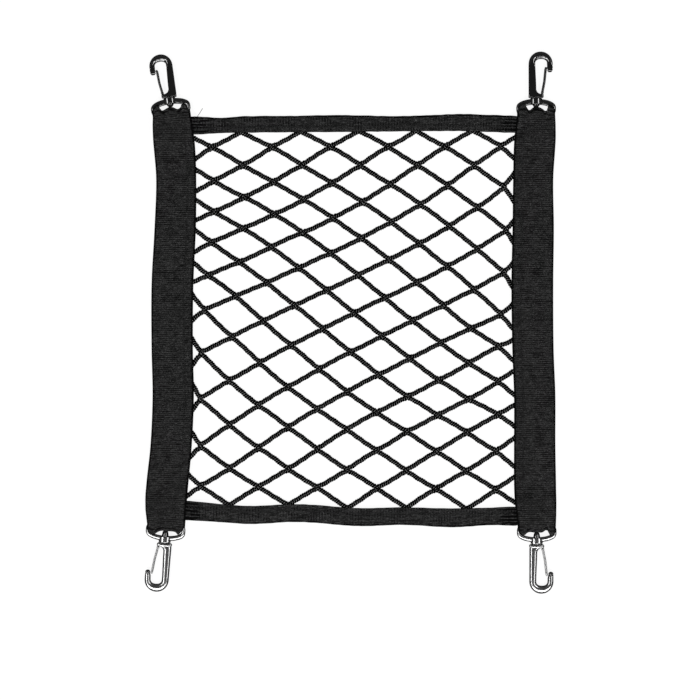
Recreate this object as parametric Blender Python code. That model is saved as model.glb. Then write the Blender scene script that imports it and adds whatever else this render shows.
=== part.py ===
"""Small cargo net: elastic mesh, two webbing bands, two binding strips, four swivel hooks.

The net lies flat.  +X runs across it, +Y along the bands, +Z is up off the surface.
Sizes below are in millimetres, and meshes are written in metres.
"""
import math
from collections import namedtuple

import bmesh
import bpy
from mathutils import Euler, Matrix, Vector

MM = 0.001
GAP = 0.3                     # clearance between neighbouring pieces

# ---------------------------------------------------------------- net cords
CORD_HALF = 1.45              # half the width of a cord, at its middle
CORD_FLAT = 0.70              # half the width of its flattened top and underside
CORD_HALF_DEPTH = 1.2         # half its thickness where it lies free
PRESSED_HALF_DEPTH = 0.6      # half its thickness inside a binding or a band
KNOT_ROUND = 1.0              # how far the fillet at a crossing runs along a cord
KNOT_RISE = 0.35              # how much prouder a crossing stands than its cords
COLUMNS = 5                   # net columns on each side of the middle one
LAST_HALF_ROW = 20            # half rows from the top strip to the bottom strip
BORDER_IN_BAND = 6.0          # border cord's place inside a band's inner edge
BORDER_IN_STRIP = 6.0         # border cord's place inside a strip's inner edge
EASE_BAND = 9.0               # length over which the net rises to enter a band
EASE_STRIP = 8.0              # length over which it rises to enter a strip
BEND_CLEAR = 1.0              # a cord is at its binding's level this far outside it
BEND_MARGIN = 0.4             # and keeps that level this much longer beside a band
CORD_ANGLE = 60.0             # edges of a cord's section are shaded smooth up to this

# One row of knots: height at the middle column, fall per half width to the right,
# place of the middle column, half the span, and how much the columns crowd to the left.
KnotRow = namedtuple("KnotRow", "mid_y fall mid_x half_span crowd")
KNOT_ROWS = (
    KnotRow(150.9, 0.0, 6.4, 115.6, -2.5),
    KnotRow(125.7, 0.0, 7.8, 115.6, -2.5),
    KnotRow(96.3, 5.3, 9.6, 116.6, -2.0),
    KnotRow(67.5, 10.9, 8.8, 117.2, -2.0),
    KnotRow(37.9, 14.4, 6.0, 117.2, -1.6),
    KnotRow(7.5, 14.8, 2.8, 117.4, -1.0),
    KnotRow(-23.5, 13.1, -0.2, 118.4, 0.2),
    KnotRow(-55.5, 9.5, -2.8, 119.4, 1.6),
    KnotRow(-85.5, 4.0, -2.8, 118.8, 1.4),
    KnotRow(-117.7, 1.5, -3.0, 118.0, 0.8),
    KnotRow(-145.9, 1.6, -2.6, 118.4, 0.4),
)

# ---------------------------------------------------------------- binding strips
TAPE = 1.0                    # thickness of the binding tape
HEM_FLAT = 1.7                # a folded edge rounds off this far from its end
HEM_STEEP = 0.5               # and is steepest this far from its end
HEM_SHARE = 0.62              # share of the half thickness left at that place
SLOT_FLAT = 0.7               # the room inside the fold rounds off this far from its end
STRIP_TUCK = 8.0              # how far a strip's ends run in under the bands
StripRow = namedtuple("StripRow", "x outer_y inner_y")
TOP_STRIP = (
    StripRow(-134.5, 163.9, 150.4),
    StripRow(-123.0, 164.6, 150.4),
    StripRow(-103.8, 163.6, 151.5),
    StripRow(-84.6, 164.9, 151.9),
    StripRow(-46.2, 165.2, 152.2),
    StripRow(-7.8, 165.8, 152.4),
    StripRow(40.0, 165.0, 152.9),
    StripRow(88.2, 166.7, 153.2),
    StripRow(107.4, 166.1, 152.6),
    StripRow(129.0, 165.3, 151.8),
    StripRow(139.0, 164.2, 151.8),
)
BOTTOM_STRIP = (
    StripRow(-137.0, -158.0, -142.6),
    StripRow(-128.6, -158.0, -142.6),
    StripRow(-99.8, -159.7, -145.4),
    StripRow(-80.6, -161.1, -146.7),
    StripRow(-42.2, -159.4, -145.2),
    StripRow(5.8, -162.6, -148.3),
    StripRow(44.0, -161.8, -147.8),
    StripRow(82.6, -163.6, -148.6),
    StripRow(111.4, -161.9, -148.0),
    StripRow(131.0, -162.2, -147.1),
    StripRow(139.0, -160.4, -147.1),
)

# ---------------------------------------------------------------- webbing bands
WEBBING = 1.0                 # thickness of one layer of webbing
BAND_END_HALF = 15.0          # half the width of a band at its rings
RING_REACH = 5.0              # flat layers stop this far short of a ring's middle
FLAP_REACH = -1.6             # where the layers' outer corners end beside a ring
FOLD_STEPS = 6                # facets round a fold
ROOM_EASE = 14.0              # length over which the room between the layers changes
ROOM_OUTSIDE = 7.0            # the strips' room starts this far outside their inner edge
ROOM_INSIDE = 1.5             # and ends this far inside the net
ROW_CLEAR = 12.0              # least distance from there to a row of the table below
BandRow = namedtuple("BandRow", "y left_x right_x half")
BAND_ROWS = (
    BandRow(-166.0, -147.8, 148.5, 15.2),
    BandRow(-135.5, -147.0, 147.4, 16.6),
    BandRow(-97.1, -143.4, 147.0, 16.4),
    BandRow(-58.7, -141.8, 147.0, 16.4),
    BandRow(-20.3, -142.6, 145.6, 16.4),
    BandRow(30.0, -142.4, 145.1, 16.6),
    BandRow(75.7, -140.2, 145.8, 16.4),
    BandRow(114.1, -139.4, 145.8, 15.9),
    BandRow(142.9, -141.0, 147.0, 16.4),
    BandRow(166.0, -143.0, 148.0, 15.2),
)
# The end of a band across its width: share of the half width, and reach past the middle.
FoldStep = namedtuple("FoldStep", "share reach")
FOLD_EDGE = (FoldStep(0.0, 0.0), FoldStep(0.35, -0.5), FoldStep(0.6, -1.0), FoldStep(0.8, 0.6))
FLAP_SHARE = 1.0              # the outermost column, cut away round a ring's sides

# ---------------------------------------------------------------- rings
RING_BAR = 1.6                # radius of a ring's wire
RING_HALF = 14.2              # half the ring's width, between wire centres
BOW_RISE = 6.9                # height of the bow over the ring's middle
RING_CORNER = 3.0             # radius of the corners by the straight bar
BAR_SLACK = 0.6               # spare room between the straight bar and the fold
RING_FACETS = 8
BOW_STEPS = 14
CORNER_STEPS = 4
Span = namedtuple("Span", "start end")
BARREL = Span(3.9, 8.9)
BARREL_HALF_WIDTH = 4.8
BARREL_HALF_DEPTH = 3.2
BARREL_EDGE = 0.5             # chamfer at the barrel's ends
BARREL_FACETS = 16
BORE = 2.1                    # radius of the barrel's bore
BORE_OVERRUN = 4.0            # how far the bore's cutter passes the barrel's ends

# ---------------------------------------------------------------- hooks
STUD = BORE - GAP             # radius of the stud that turns in the bore
STUD_HEAD = 2.7               # radius of the stud's head
STUD_HEAD_LENGTH = 0.6
STUD_TIP = 0.5                # radius of the stud's pointed end
STUD_SINK = 1.5               # how far the stud runs into the collar
STUD_FACETS = 12
COLLAR_HALF_WIDTH = 5.9
COLLAR_HEIGHT = 3.0
COLLAR_HALF_DEPTH = 2.9
COLLAR_ROUND = 0.7
HOOK_FACETS = 10
HOOK_SQUARE = 0.12            # how square the body's section is
HOOK_HALF_DEPTH = 2.2         # half the thickness of the hook's body
HOOK_OUTER = 9.6              # outer radius of the hook's bend
HOOK_BACK = -5.8              # outer face of the spine, from the swivel's axis
HOOK_BEND_STEPS = 8
FOOT_SINK = 1.5               # the spine starts this far inside the collar
FOOT_LENGTH = 3.0             # and narrows to the waist over this length
NOSE_LENGTH = 6.6             # straight nose below the middle of the bend
NOSE_ROUND = 1.5              # length of the nose's rounded end
NOSE_SET_BACK = 0.5           # the rounded end stands back this far from the outer face
# In-plane width of the hook's body along its line.
SPINE_FOOT_WIDTH = 6.2
SPINE_WAIST_WIDTH = 5.7
SPINE_TOP_WIDTH = 5.0
BEND_WIDTH = 5.9
NOSE_WIDTH = 4.2
NOSE_END_WIDTH = 3.5
NOSE_TIP_WIDTH = 2.24

# ---------------------------------------------------------------- gates
Place = namedtuple("Place", "u v")
GATE_ROOT = Place(5.0, 13.4)  # root of the leaf, beside and along the swivel's axis
GATE_HALF_THICK = 0.6
GATE_HALF_DEPTH = 1.9
GATE_FACETS = 8
GATE_SQUARE = 0.2             # how square the leaf's section is
GATE_SLACK = 0.35             # spare room between the leaf's tip and the nose
GATE_LAP = 3.6                # how far the leaf's tip runs up inside the nose
GATE_KNEE = 1.8               # length of the leaf's bent tip
GATE_TURN = 0.45              # how far the tip turns out to the nose
GATE_BOW = 0.35               # how far the leaf bows out at its middle
GATE_FOOT = 0.7               # length of its tapered root
GATE_FOOT_THIN = 0.35         # half the thickness at the root's end
GATE_FOOT_SHARE = 0.85        # and its share of the leaf's depth

# Each ring and hook: the ring's middle, its turn about +Z in degrees, the side that the
# hook opens to in its own frame, the hook's reach from the ring's middle, how far the
# band's fold and the stud's tip reach from there, and the finish.
Fitting = namedtuple("Fitting", "key x y turn side reach fold stud_tip finish")
FITTINGS = (
    Fitting("tl", -143.6, 170.6, 8.0, -1, 44.4, 0.9, 1.4, "black"),
    Fitting("tr", 148.0, 170.2, 0.0, 1, 46.3, 0.9, 1.4, "black"),
    Fitting("bl", -147.8, -166.7, 175.0, 1, 48.8, -0.4, 0.1, "grey"),
    Fitting("br", 148.5, -167.8, 180.0, -1, 48.8, -0.4, 0.1, "grey"),
)

# ---------------------------------------------------------------- finishes
HARD_ANGLE = 40.0             # edges up to this many degrees are shaded smooth
Finish = namedtuple("Finish", "color roughness metallic")
FINISHES = {
    "cord": Finish((0.012, 0.012, 0.013), 0.90, 0.0),
    "tape": Finish((0.014, 0.014, 0.015), 0.80, 0.0),
    "webbing": Finish((0.016, 0.016, 0.017), 0.85, 0.0),
    "black": Finish((0.010, 0.010, 0.011), 0.22, 0.6),
    "grey": Finish((0.30, 0.30, 0.30), 0.25, 1.0),
    "gate_black": Finish((0.015, 0.015, 0.016), 0.30, 0.6),
    "gate_grey": Finish((0.24, 0.24, 0.24), 0.30, 1.0),
}


# ================================================================ helpers
def ease(amount):
    """Smooth step from 0 to 1."""
    amount = min(max(amount, 0.0), 1.0)
    return amount * amount * (3 - 2 * amount)


def smooth(places, values, at):
    """A smooth curve through values at rising places."""
    last = len(places) - 1
    at = min(max(at, places[0]), places[last])
    left = max(i for i in range(last) if places[i] <= at)

    def slope(i):
        before, after = max(i - 1, 0), min(i + 1, last)
        return (values[after] - values[before]) / (places[after] - places[before])

    step = places[left + 1] - places[left]
    t = (at - places[left]) / step
    start, end = slope(left) * step, slope(left + 1) * step
    rise = values[left + 1] - values[left]
    return values[left] + t * start + t * t * (3 * rise - 2 * start - end) \
        + t * t * t * (start + end - 2 * rise)


def read(rows, field, at):
    """A field of a table of rows, smooth along the table's first column."""
    return smooth([row[0] for row in rows], [getattr(row, field) for row in rows], at)


def new_material(finish):
    name = "finish_" + finish
    if name in bpy.data.materials:
        return bpy.data.materials[name]
    material = bpy.data.materials.new(name)
    material.use_nodes = True
    shader = material.node_tree.nodes["Principled BSDF"]
    look = FINISHES[finish]
    shader.inputs["Base Color"].default_value = (*look.color, 1.0)
    shader.inputs["Roughness"].default_value = look.roughness
    shader.inputs["Metallic"].default_value = look.metallic
    return material


def add_solid(name, points, faces, finish, parent=None, smooth_angle=HARD_ANGLE):
    """A named object from points in millimetres, with its faces turned outward."""
    mesh = bpy.data.meshes.new(name)
    mesh.from_pydata([Vector(p) * MM for p in points], [], faces)
    work = bmesh.new()
    work.from_mesh(mesh)
    bmesh.ops.recalc_face_normals(work, faces=work.faces)
    work.to_mesh(mesh)
    work.free()
    mesh.shade_smooth()
    mesh.set_sharp_from_angle(angle=math.radians(smooth_angle))
    mesh.materials.append(new_material(finish))
    solid = bpy.data.objects.new(name, mesh)
    bpy.context.scene.collection.objects.link(solid)
    solid.parent = parent
    return solid


def add_empty(name, matrix, parent=None):
    empty = bpy.data.objects.new(name, None)
    bpy.context.scene.collection.objects.link(empty)
    empty.parent = parent
    empty.matrix_local = matrix
    return empty


def combine(solid, helper, operation):
    """Join a helper to a solid, or cut it away, and keep the helper as a guide."""
    helper.hide_render = True
    helper.display_type = "WIRE"
    modifier = solid.modifiers.new(helper.name, "BOOLEAN")
    modifier.operation = operation
    modifier.solver = "EXACT"
    modifier.object = helper


def loft(rings, closed=False):
    """Points and faces of a body through rings of equal length."""
    size = len(rings[0])
    points = [point for ring in rings for point in ring]
    faces = []
    spans = len(rings) if closed else len(rings) - 1
    for i in range(spans):
        a, b = i * size, (i + 1) % len(rings) * size
        for j in range(size):
            k = (j + 1) % size
            faces.append((a + j, a + k, b + k, b + j))
    if not closed:
        faces.append(tuple(reversed(range(size))))
        faces.append(tuple(range(len(points) - size, len(points))))
    return points, faces


def section(centre, across, half_width, half_depth, sides, corner=0.0):
    """A round section in the plane of `across` and +Z, squarer as corner grows."""
    ring = []
    for i in range(sides):
        angle = math.tau * (i + 0.5) / sides
        c, s = math.cos(angle), math.sin(angle)
        pull = 1 + corner * (abs(c * s) * 2)
        place = centre + across * (half_width * c * pull)
        ring.append(place + Vector((0, 0, half_depth * s * pull)))
    return ring


def turned(profile, sides, width_scale=1.0, depth_scale=1.0):
    """A solid turned about the Y axis from (radius, y) rows, stretched in X and Z."""
    rings = []
    for radius, y in profile:
        ring = []
        for i in range(sides):
            angle = math.tau * (i + 0.5) / sides
            x = radius * math.cos(angle) * width_scale
            z = radius * math.sin(angle) * depth_scale
            ring.append(Vector((x, y, z)))
        rings.append(ring)
    return loft(rings)


# ================================================================ shared lines
def band_half(y):
    return read(BAND_ROWS, "half", y)


def band_inner_edges(y):
    """X of the left band's and of the right band's inner edge."""
    half = band_half(y)
    return read(BAND_ROWS, "left_x", y) + half, read(BAND_ROWS, "right_x", y) - half


def under_band(x, y):
    """0 in the open net, 1 at a band's inner edge and beyond."""
    left, right = band_inner_edges(y)
    inside = min(x - left, right - x)
    return 1 - ease((inside - BEND_CLEAR - BEND_MARGIN) / EASE_BAND)


def under_strip(x, y):
    """0 in the open net, 1 at a strip's inner edge and beyond."""
    inside = min(read(TOP_STRIP, "inner_y", x) - y, y - read(BOTTOM_STRIP, "inner_y", x))
    return 1 - ease((inside - BEND_CLEAR) / EASE_STRIP)


BAND_NET_MIDDLE = WEBBING + GAP + PRESSED_HALF_DEPTH
STRIP_HALF_DEPTH = PRESSED_HALF_DEPTH + GAP + TAPE
STRIP_LIFT = WEBBING + GAP    # a strip's ends lie on a band's back layer


def strip_middle(x, y):
    """Height of a strip's middle: on the surface, and lifted where it enters a band."""
    return STRIP_HALF_DEPTH + STRIP_LIFT * under_band(x, y)


def net_levels(x, y):
    """Height of the net's middle and half its thickness."""
    band, strip = under_band(x, y), under_strip(x, y)
    held = max(band, strip)
    half = CORD_HALF_DEPTH + (PRESSED_HALF_DEPTH - CORD_HALF_DEPTH) * held
    middle = CORD_HALF_DEPTH + (BAND_NET_MIDDLE - CORD_HALF_DEPTH) * held
    return middle + STRIP_LIFT * band * strip, half


# ================================================================ net
def knot(column, half_row):
    """Place of a crossing; the border columns lie inside the bands."""
    share = column / COLUMNS
    row = half_row / 2
    rows = list(range(len(KNOT_ROWS)))
    mid_y, fall, mid_x, half_span, crowd = (
        smooth(rows, [getattr(r, field) for r in KNOT_ROWS], row)
        for field in KnotRow._fields
    )
    y = mid_y - fall * share
    left, right = band_inner_edges(y)
    if column < -COLUMNS:
        x = left - BORDER_IN_BAND
    elif column > COLUMNS:
        x = right + BORDER_IN_BAND
    else:
        x = mid_x + half_span * share + crowd * share * share
    if half_row == 0:
        y = read(TOP_STRIP, "inner_y", x) + GAP
    if half_row == LAST_HALF_ROW:
        y = read(BOTTOM_STRIP, "inner_y", x) - GAP
    return Vector((x, y))


def net_plan():
    """Named knots of the net, and its gaps as loops of knots, anticlockwise."""
    edge = COLUMNS + 1
    knots = {}
    for column in range(-edge, edge + 1):
        first = 0 if (column - edge) % 2 == 0 else 1
        for half_row in range(first, LAST_HALF_ROW + 1, 2):
            knots[column, half_row] = knot(column, half_row)
    for column in range(-edge, edge + 1, 2):
        top, bottom = knots[column, 0], knots[column, LAST_HALF_ROW]
        knots[column, "top"] = top + Vector((0, BORDER_IN_STRIP))
        knots[column, "bottom"] = bottom - Vector((0, BORDER_IN_STRIP))

    loops = []
    for column in range(-COLUMNS, edge):
        first = 1 if (column - edge) % 2 == 0 else 2
        for row in range(first, LAST_HALF_ROW, 2):
            loops.append([(column - 1, row), (column, row + 1), (column + 1, row), (column, row - 1)])
    for column in range(-COLUMNS, edge, 2):
        west, east = column - 1, column + 1
        last = LAST_HALF_ROW
        loops.append([(west, "top"), (west, 0), (column, 1), (east, 0), (east, "top")])
        loops.append([(west, "bottom"), (east, "bottom"), (east, last), (column, last - 1), (west, last)])
    for row in range(1, LAST_HALF_ROW, 2):
        loops.append([(-edge, row - 1), (-edge, row + 1), (-COLUMNS, row)])
        loops.append([(edge, row - 1), (COLUMNS, row), (edge, row + 1)])

    top = [(column, "top") for column in range(-edge, edge + 1, 2)]
    right = [(edge, row) for row in range(0, LAST_HALF_ROW + 1, 2)]
    bottom = [(column, "bottom") for column in range(edge, -edge - 1, -2)]
    left = [(-edge, row) for row in range(LAST_HALF_ROW, -1, -2)]
    loops.append(top + right + bottom + left)
    add_bends(knots, loops)
    return knots, loops


def add_bend(knots, loops, start, end, axis, value):
    """A bend in the cord from start to end, where its X (axis 0) or Y (axis 1) is value."""
    here, there = knots[start], knots[end]
    name = ("bend", start, end, round(value))
    knots[name] = here.lerp(there, (value - here[axis]) / (there[axis] - here[axis]))
    for loop in loops:
        for i, knot_name in enumerate(loop):
            if {knot_name, loop[(i + 1) % len(loop)]} == {start, end}:
                loop.insert(i + 1, name)
                break
    return name


def add_bends(knots, loops):
    """Cords bend where they rise into a band, and the border cords where they rise too."""
    edge = COLUMNS + 1
    for side in (-1, 1):
        for row in range(1, LAST_HALF_ROW, 2):
            for border_row in (row - 1, row + 1):
                start, end = (side * COLUMNS, row), (side * edge, border_row)
                inner = band_inner_edges(knots[end].y)[side > 0]
                add_bend(knots, loops, start, end, 0, inner - side * BEND_CLEAR)
        for rim, last, beyond in (("top", 0, 2), ("bottom", LAST_HALF_ROW, LAST_HALF_ROW - 2)):
            corner = (side * edge, rim)
            inner = band_inner_edges(knots[corner].y)[side > 0]
            near = add_bend(knots, loops, corner, (side * (edge - 2), rim), 0,
                            inner - side * BEND_CLEAR)
            add_bend(knots, loops, near, (side * (edge - 2), rim), 0,
                     inner - side * (BEND_CLEAR + EASE_BAND))
            start, end = (side * edge, last), (side * edge, beyond)
            away = math.copysign(EASE_STRIP + BEND_CLEAR, knots[start].y)
            add_bend(knots, loops, start, end, 1, knots[start].y - away)


def corner_places(before, here, after, half_width, along):
    """The two ends of the fillet that a gap has at one of its knots, or a bend's one point."""
    arriving, leaving = (here - before).normalized(), (after - here).normalized()
    side_in = Vector((-arriving.y, arriving.x))
    side_out = Vector((-leaving.y, leaving.x))
    if along is None:
        return [here + (side_in + side_out).normalized() * half_width]
    return [here - arriving * along + side_in * half_width,
            here + leaving * along + side_out * half_width]


def fillet_run(before, here, after):
    """How far along each cord a gap's fillet starts."""
    arriving, leaving = here - before, after - here
    turn = math.atan2(arriving.x * leaving.y - arriving.y * leaving.x, arriving.dot(leaving))
    return max(CORD_HALF / math.tan((math.pi - turn) / 2) + KNOT_ROUND, KNOT_ROUND / 2)


def build_net():
    knots, loops = net_plan()
    points, faces = [], []
    corners = {}          # (knot, next knot) -> its points by level, and the knot before
    arrivals = {}         # (knot before, knot) -> the same points

    def place(flat, level, rise=0.0):
        middle, half = net_levels(flat.x, flat.y)
        points.append((flat.x, flat.y, middle + half * level + rise))
        return len(points) - 1

    for loop in loops:
        ring = []
        for i, name in enumerate(loop):
            before, after = knots[loop[i - 1]], knots[loop[(i + 1) % len(loop)]]
            along = None if name[0] == "bend" else fillet_run(before, knots[name], after)
            levels = {}
            for level, half_width in ((1, CORD_FLAT), (0, CORD_HALF), (-1, CORD_FLAT)):
                pair = corner_places(before, knots[name], after, half_width, along)
                levels[level] = [place(p, level) for p in pair]
            corners[name, loop[(i + 1) % len(loop)]] = (levels, loop[i - 1])
            arrivals[loop[i - 1], name] = levels
            ring.append(levels)
        for upper, lower in ((1, 0), (0, -1)):
            high = [index for levels in ring for index in levels[upper]]
            low = [index for levels in ring for index in levels[lower]]
            for i in range(len(high)):
                k = (i + 1) % len(high)
                faces.append((low[k], low[i], high[i], high[k]))

    # The faces above and below each cord.
    for (here, there), (near_left, _) in corners.items():
        if str(here) > str(there):
            continue
        far_left, near_right = arrivals[here, there], arrivals[there, here]
        far_right = corners[there, here][0]
        for level in (1, -1):
            cord = (near_right[level][0], far_right[level][-1],
                    far_left[level][0], near_left[level][-1])
            faces.append(cord if level == 1 else cord[::-1])

    # The faces above and below each knot.
    for name, flat in knots.items():
        if name[0] == "bend":
            continue
        around = {after: corner for (here, after), corner in corners.items() if here == name}
        after = next(iter(around))
        order = []
        for _ in around:
            levels, before = around[after]
            order.append(levels)
            after = before
        crown = place(flat, 1, KNOT_RISE * (1 - under_strip(*flat)) * (1 - under_band(*flat)))
        over = [index for levels in order for index in reversed(levels[1])]
        under = [index for levels in order for index in reversed(levels[-1])]
        for i, index in enumerate(over):
            faces.append((index, over[(i + 1) % len(over)], crown))
        faces.append(tuple(reversed(under)))

    add_solid("net", points, faces, "cord", smooth_angle=CORD_ANGLE)


# ================================================================ binding strips
def strip_profile(height):
    """A folded tape's section: distance in from its open edge, and height."""
    half, side = STRIP_HALF_DEPTH, STRIP_HALF_DEPTH * HEM_SHARE
    slot = PRESSED_HALF_DEPTH + GAP
    fold = height - TAPE
    return (
        (0.0, -half), (height - HEM_FLAT, -half), (height - HEM_STEEP, -side),
        (height, 0.0),
        (height - HEM_STEEP, side), (height - HEM_FLAT, half), (0.0, half),
        (0.0, slot), (fold - SLOT_FLAT, slot),
        (fold, 0.0),
        (fold - SLOT_FLAT, -slot), (0.0, -slot),
    )


def strip_ends(rows):
    """X of a strip's two hidden ends."""
    y = read(rows, "inner_y", rows[0].x)
    left, right = band_inner_edges(y)
    return left - STRIP_TUCK, right + STRIP_TUCK


def build_strip(name, rows):
    left, right = strip_ends(rows)
    rise = STRIP_TUCK + BEND_CLEAR
    flat_from, flat_to = left + rise + EASE_BAND, right - rise - EASE_BAND
    places = [left, left + rise, flat_from, flat_to, right - rise, right]
    places += [row.x for row in rows if flat_from + 2 < row.x < flat_to - 2]
    rings = []
    for x in sorted(places):
        outer, inner = read(rows, "outer_y", x), read(rows, "inner_y", x)
        toward = math.copysign(1.0, outer)
        middle = strip_middle(x, (outer + inner) / 2)
        ring = [Vector((x, inner + toward * deep, middle + high))
                for deep, high in strip_profile(abs(outer - inner))]
        rings.append(ring)
    points, faces = loft(rings)
    add_solid(name, points, faces, "tape")


# ================================================================ webbing bands
def pitch_of(fitting):
    """The slope at which a hook's end rests on the surface while its barrel does too."""
    drop = BARREL_HALF_DEPTH - HOOK_HALF_DEPTH
    return math.asin(drop / (fitting.reach - BARREL.end))


def fitting_height(fitting):
    return BARREL_HALF_DEPTH + BARREL.end * math.sin(pitch_of(fitting))


def fitting_matrix(fitting):
    turn = Euler((-pitch_of(fitting), 0.0, math.radians(fitting.turn)))
    place = Vector((fitting.x, fitting.y, fitting_height(fitting))) * MM
    return Matrix.Translation(place) @ turn.to_matrix().to_4x4()


def bar_place(fitting):
    """The straight bar's distance from the ring's middle, toward the band."""
    deepest = min(step.reach for step in FOLD_EDGE)
    return fitting.fold + deepest - WEBBING - GAP - RING_BAR - BAR_SLACK


def ring_room(fitting):
    """Height of the front layer's underside over a ring's bar."""
    bar = fitting_height(fitting) - bar_place(fitting) * math.sin(pitch_of(fitting))
    return bar + RING_BAR + GAP


STRIP_ROOM = WEBBING + GAP + 2 * STRIP_HALF_DEPTH + GAP
NET_ROOM = WEBBING + GAP + 2 * PRESSED_HALF_DEPTH + GAP


def beside(fitting, share, reach):
    """A place at a band's end, given in the ring's own frame."""
    turn = math.radians(fitting.turn)
    across = share * BAND_END_HALF * math.copysign(1.0, math.cos(turn))
    x = fitting.x + across * math.cos(turn) - reach * math.sin(turn)
    y = fitting.y + across * math.sin(turn) + reach * math.cos(turn)
    return x, y


def band_shares():
    """Columns across a band, from its left edge to its right edge."""
    half = [step.share for step in FOLD_EDGE[1:]] + [FLAP_SHARE]
    return [-share for share in reversed(half)] + [0.0] + half


def fold_reach(share):
    """How far the fold reaches at a column, or None where the layers end apart."""
    return {step.share: step.reach for step in FOLD_EDGE}.get(abs(share))


def band_stations(side):
    """Rows along a band's straight part: height y and the room under the front layer."""
    inner_x = band_inner_edges(0.0)[0 if side == "left" else 1]
    top = read(TOP_STRIP, "inner_y", inner_x)
    bottom = read(BOTTOM_STRIP, "inner_y", inner_x)
    highest, lowest = top - ROOM_INSIDE - ROOM_EASE, bottom + ROOM_INSIDE + ROOM_EASE
    rows = [(top + ROOM_OUTSIDE, STRIP_ROOM), (top - ROOM_INSIDE, STRIP_ROOM),
            (highest, NET_ROOM), (lowest, NET_ROOM),
            (bottom + ROOM_INSIDE, STRIP_ROOM), (bottom - ROOM_OUTSIDE, STRIP_ROOM)]
    rows += [(row.y, NET_ROOM) for row in BAND_ROWS
             if lowest + ROW_CLEAR < row.y < highest - ROW_CLEAR]
    return sorted(rows)


def fold_section(fitting, share):
    """Places round a fold, outer and inner, as (reach, outer z, inner reach, inner z)."""
    room = ring_room(fitting)
    radius = (room + WEBBING) / 2
    end = fitting.fold + fold_reach(share)
    rows = []
    for i in range(FOLD_STEPS + 1):
        angle = math.pi * (i / FOLD_STEPS - 0.5)
        c, s = math.cos(angle), math.sin(angle)
        inner = radius - WEBBING
        rows.append((end - radius + radius * c, radius + radius * s,
                     end - radius + inner * c, radius + inner * s))
    return rows


def build_band(side, lower, upper):
    """One loop of webbing: back layer, fold, front layer, fold."""
    shares = band_shares()
    stations = band_stations(side)
    outer, inner = [], []
    for share in shares:
        out_line, in_line = [], []

        def put(flat, out_z, in_flat, in_z):
            out_line.append(Vector((*flat, out_z)))
            in_line.append(Vector((*in_flat, in_z)))

        def layer(front):
            rows = reversed(stations) if front else stations
            for y, room in rows:
                x = read(BAND_ROWS, side + "_x", y) + share * band_half(y)
                put((x, y), room + WEBBING if front else 0.0, (x, y), room if front else WEBBING)

        def fold(fitting):
            flat = beside(fitting, share, -RING_REACH)
            room = ring_room(fitting)
            put(flat, 0.0, flat, WEBBING)
            if fold_reach(share) is None:
                flap = beside(fitting, share, FLAP_REACH)
                put(flap, 0.0, flap, WEBBING)
                for _ in range(FOLD_STEPS - 1):
                    out_line.append(None)
                    in_line.append(None)
                put(flap, room + WEBBING, flap, room)
            else:
                for reach, out_z, in_reach, in_z in fold_section(fitting, share):
                    put(beside(fitting, share, reach), out_z, beside(fitting, share, in_reach), in_z)
            put(flat, room + WEBBING, flat, room)

        def fold_reversed(fitting):
            before_out, before_in = len(out_line), len(in_line)
            fold(fitting)
            out_line[before_out:] = out_line[before_out:][::-1]
            in_line[before_in:] = in_line[before_in:][::-1]

        layer(front=False)
        fold(upper)
        layer(front=True)
        fold_reversed(lower)
        outer.append(out_line)
        inner.append(in_line)
    points, faces = thick_loop(outer, inner)
    add_solid("band_" + side, points, faces, "webbing")


def thick_loop(outer, inner):
    """A closed loop of cloth with thickness; places that are None are left open."""
    points, faces, index = [], [], {}

    def vertex(layer, column, row):
        row %= len(outer[0])
        key = (layer, column, row)
        if key not in index:
            index[key] = len(points)
            points.append((outer if layer else inner)[column][row])
        return index[key]

    def present(column, row):
        if not 0 <= column < len(outer) - 1:
            return False
        count = len(outer[0])
        cells = ((column, row), (column + 1, row), (column, row + 1), (column + 1, row + 1))
        return all(outer[c][r % count] is not None for c, r in cells)

    for column in range(len(outer) - 1):
        for row in range(len(outer[0])):
            if not present(column, row):
                continue
            cell = ((column, row), (column + 1, row), (column + 1, row + 1), (column, row + 1))
            faces.append(tuple(vertex(1, *place) for place in cell))
            faces.append(tuple(vertex(0, *place) for place in reversed(cell)))
            beyond = ((column, row - 1), (column + 1, row), (column, row + 1), (column - 1, row))
            for i, neighbour in enumerate(beyond):
                if not present(*neighbour):
                    a, b = cell[i], cell[(i + 1) % 4]
                    faces.append((vertex(1, *b), vertex(1, *a), vertex(0, *a), vertex(0, *b)))
    return points, faces


# ================================================================ rings
def ring_line(fitting):
    """Centre line of a ring with the way across it, anticlockwise from the right side."""
    bar = bar_place(fitting)
    line = []
    for i in range(BOW_STEPS + 1):
        angle = math.pi * i / BOW_STEPS
        place = Vector((RING_HALF * math.cos(angle), BOW_RISE * math.sin(angle), 0.0))
        across = Vector((math.cos(angle) / RING_HALF, math.sin(angle) / BOW_RISE, 0.0))
        line.append((place, across.normalized()))
    for side, first in ((-1, math.pi), (1, -math.pi / 2)):
        for i in range(CORNER_STEPS + 1):
            angle = first + math.pi / 2 * i / CORNER_STEPS
            centre = Vector((side * (RING_HALF - RING_CORNER), bar + RING_CORNER, 0.0))
            across = Vector((math.cos(angle), math.sin(angle), 0.0))
            line.append((centre + across * RING_CORNER, across))
    return line


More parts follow.
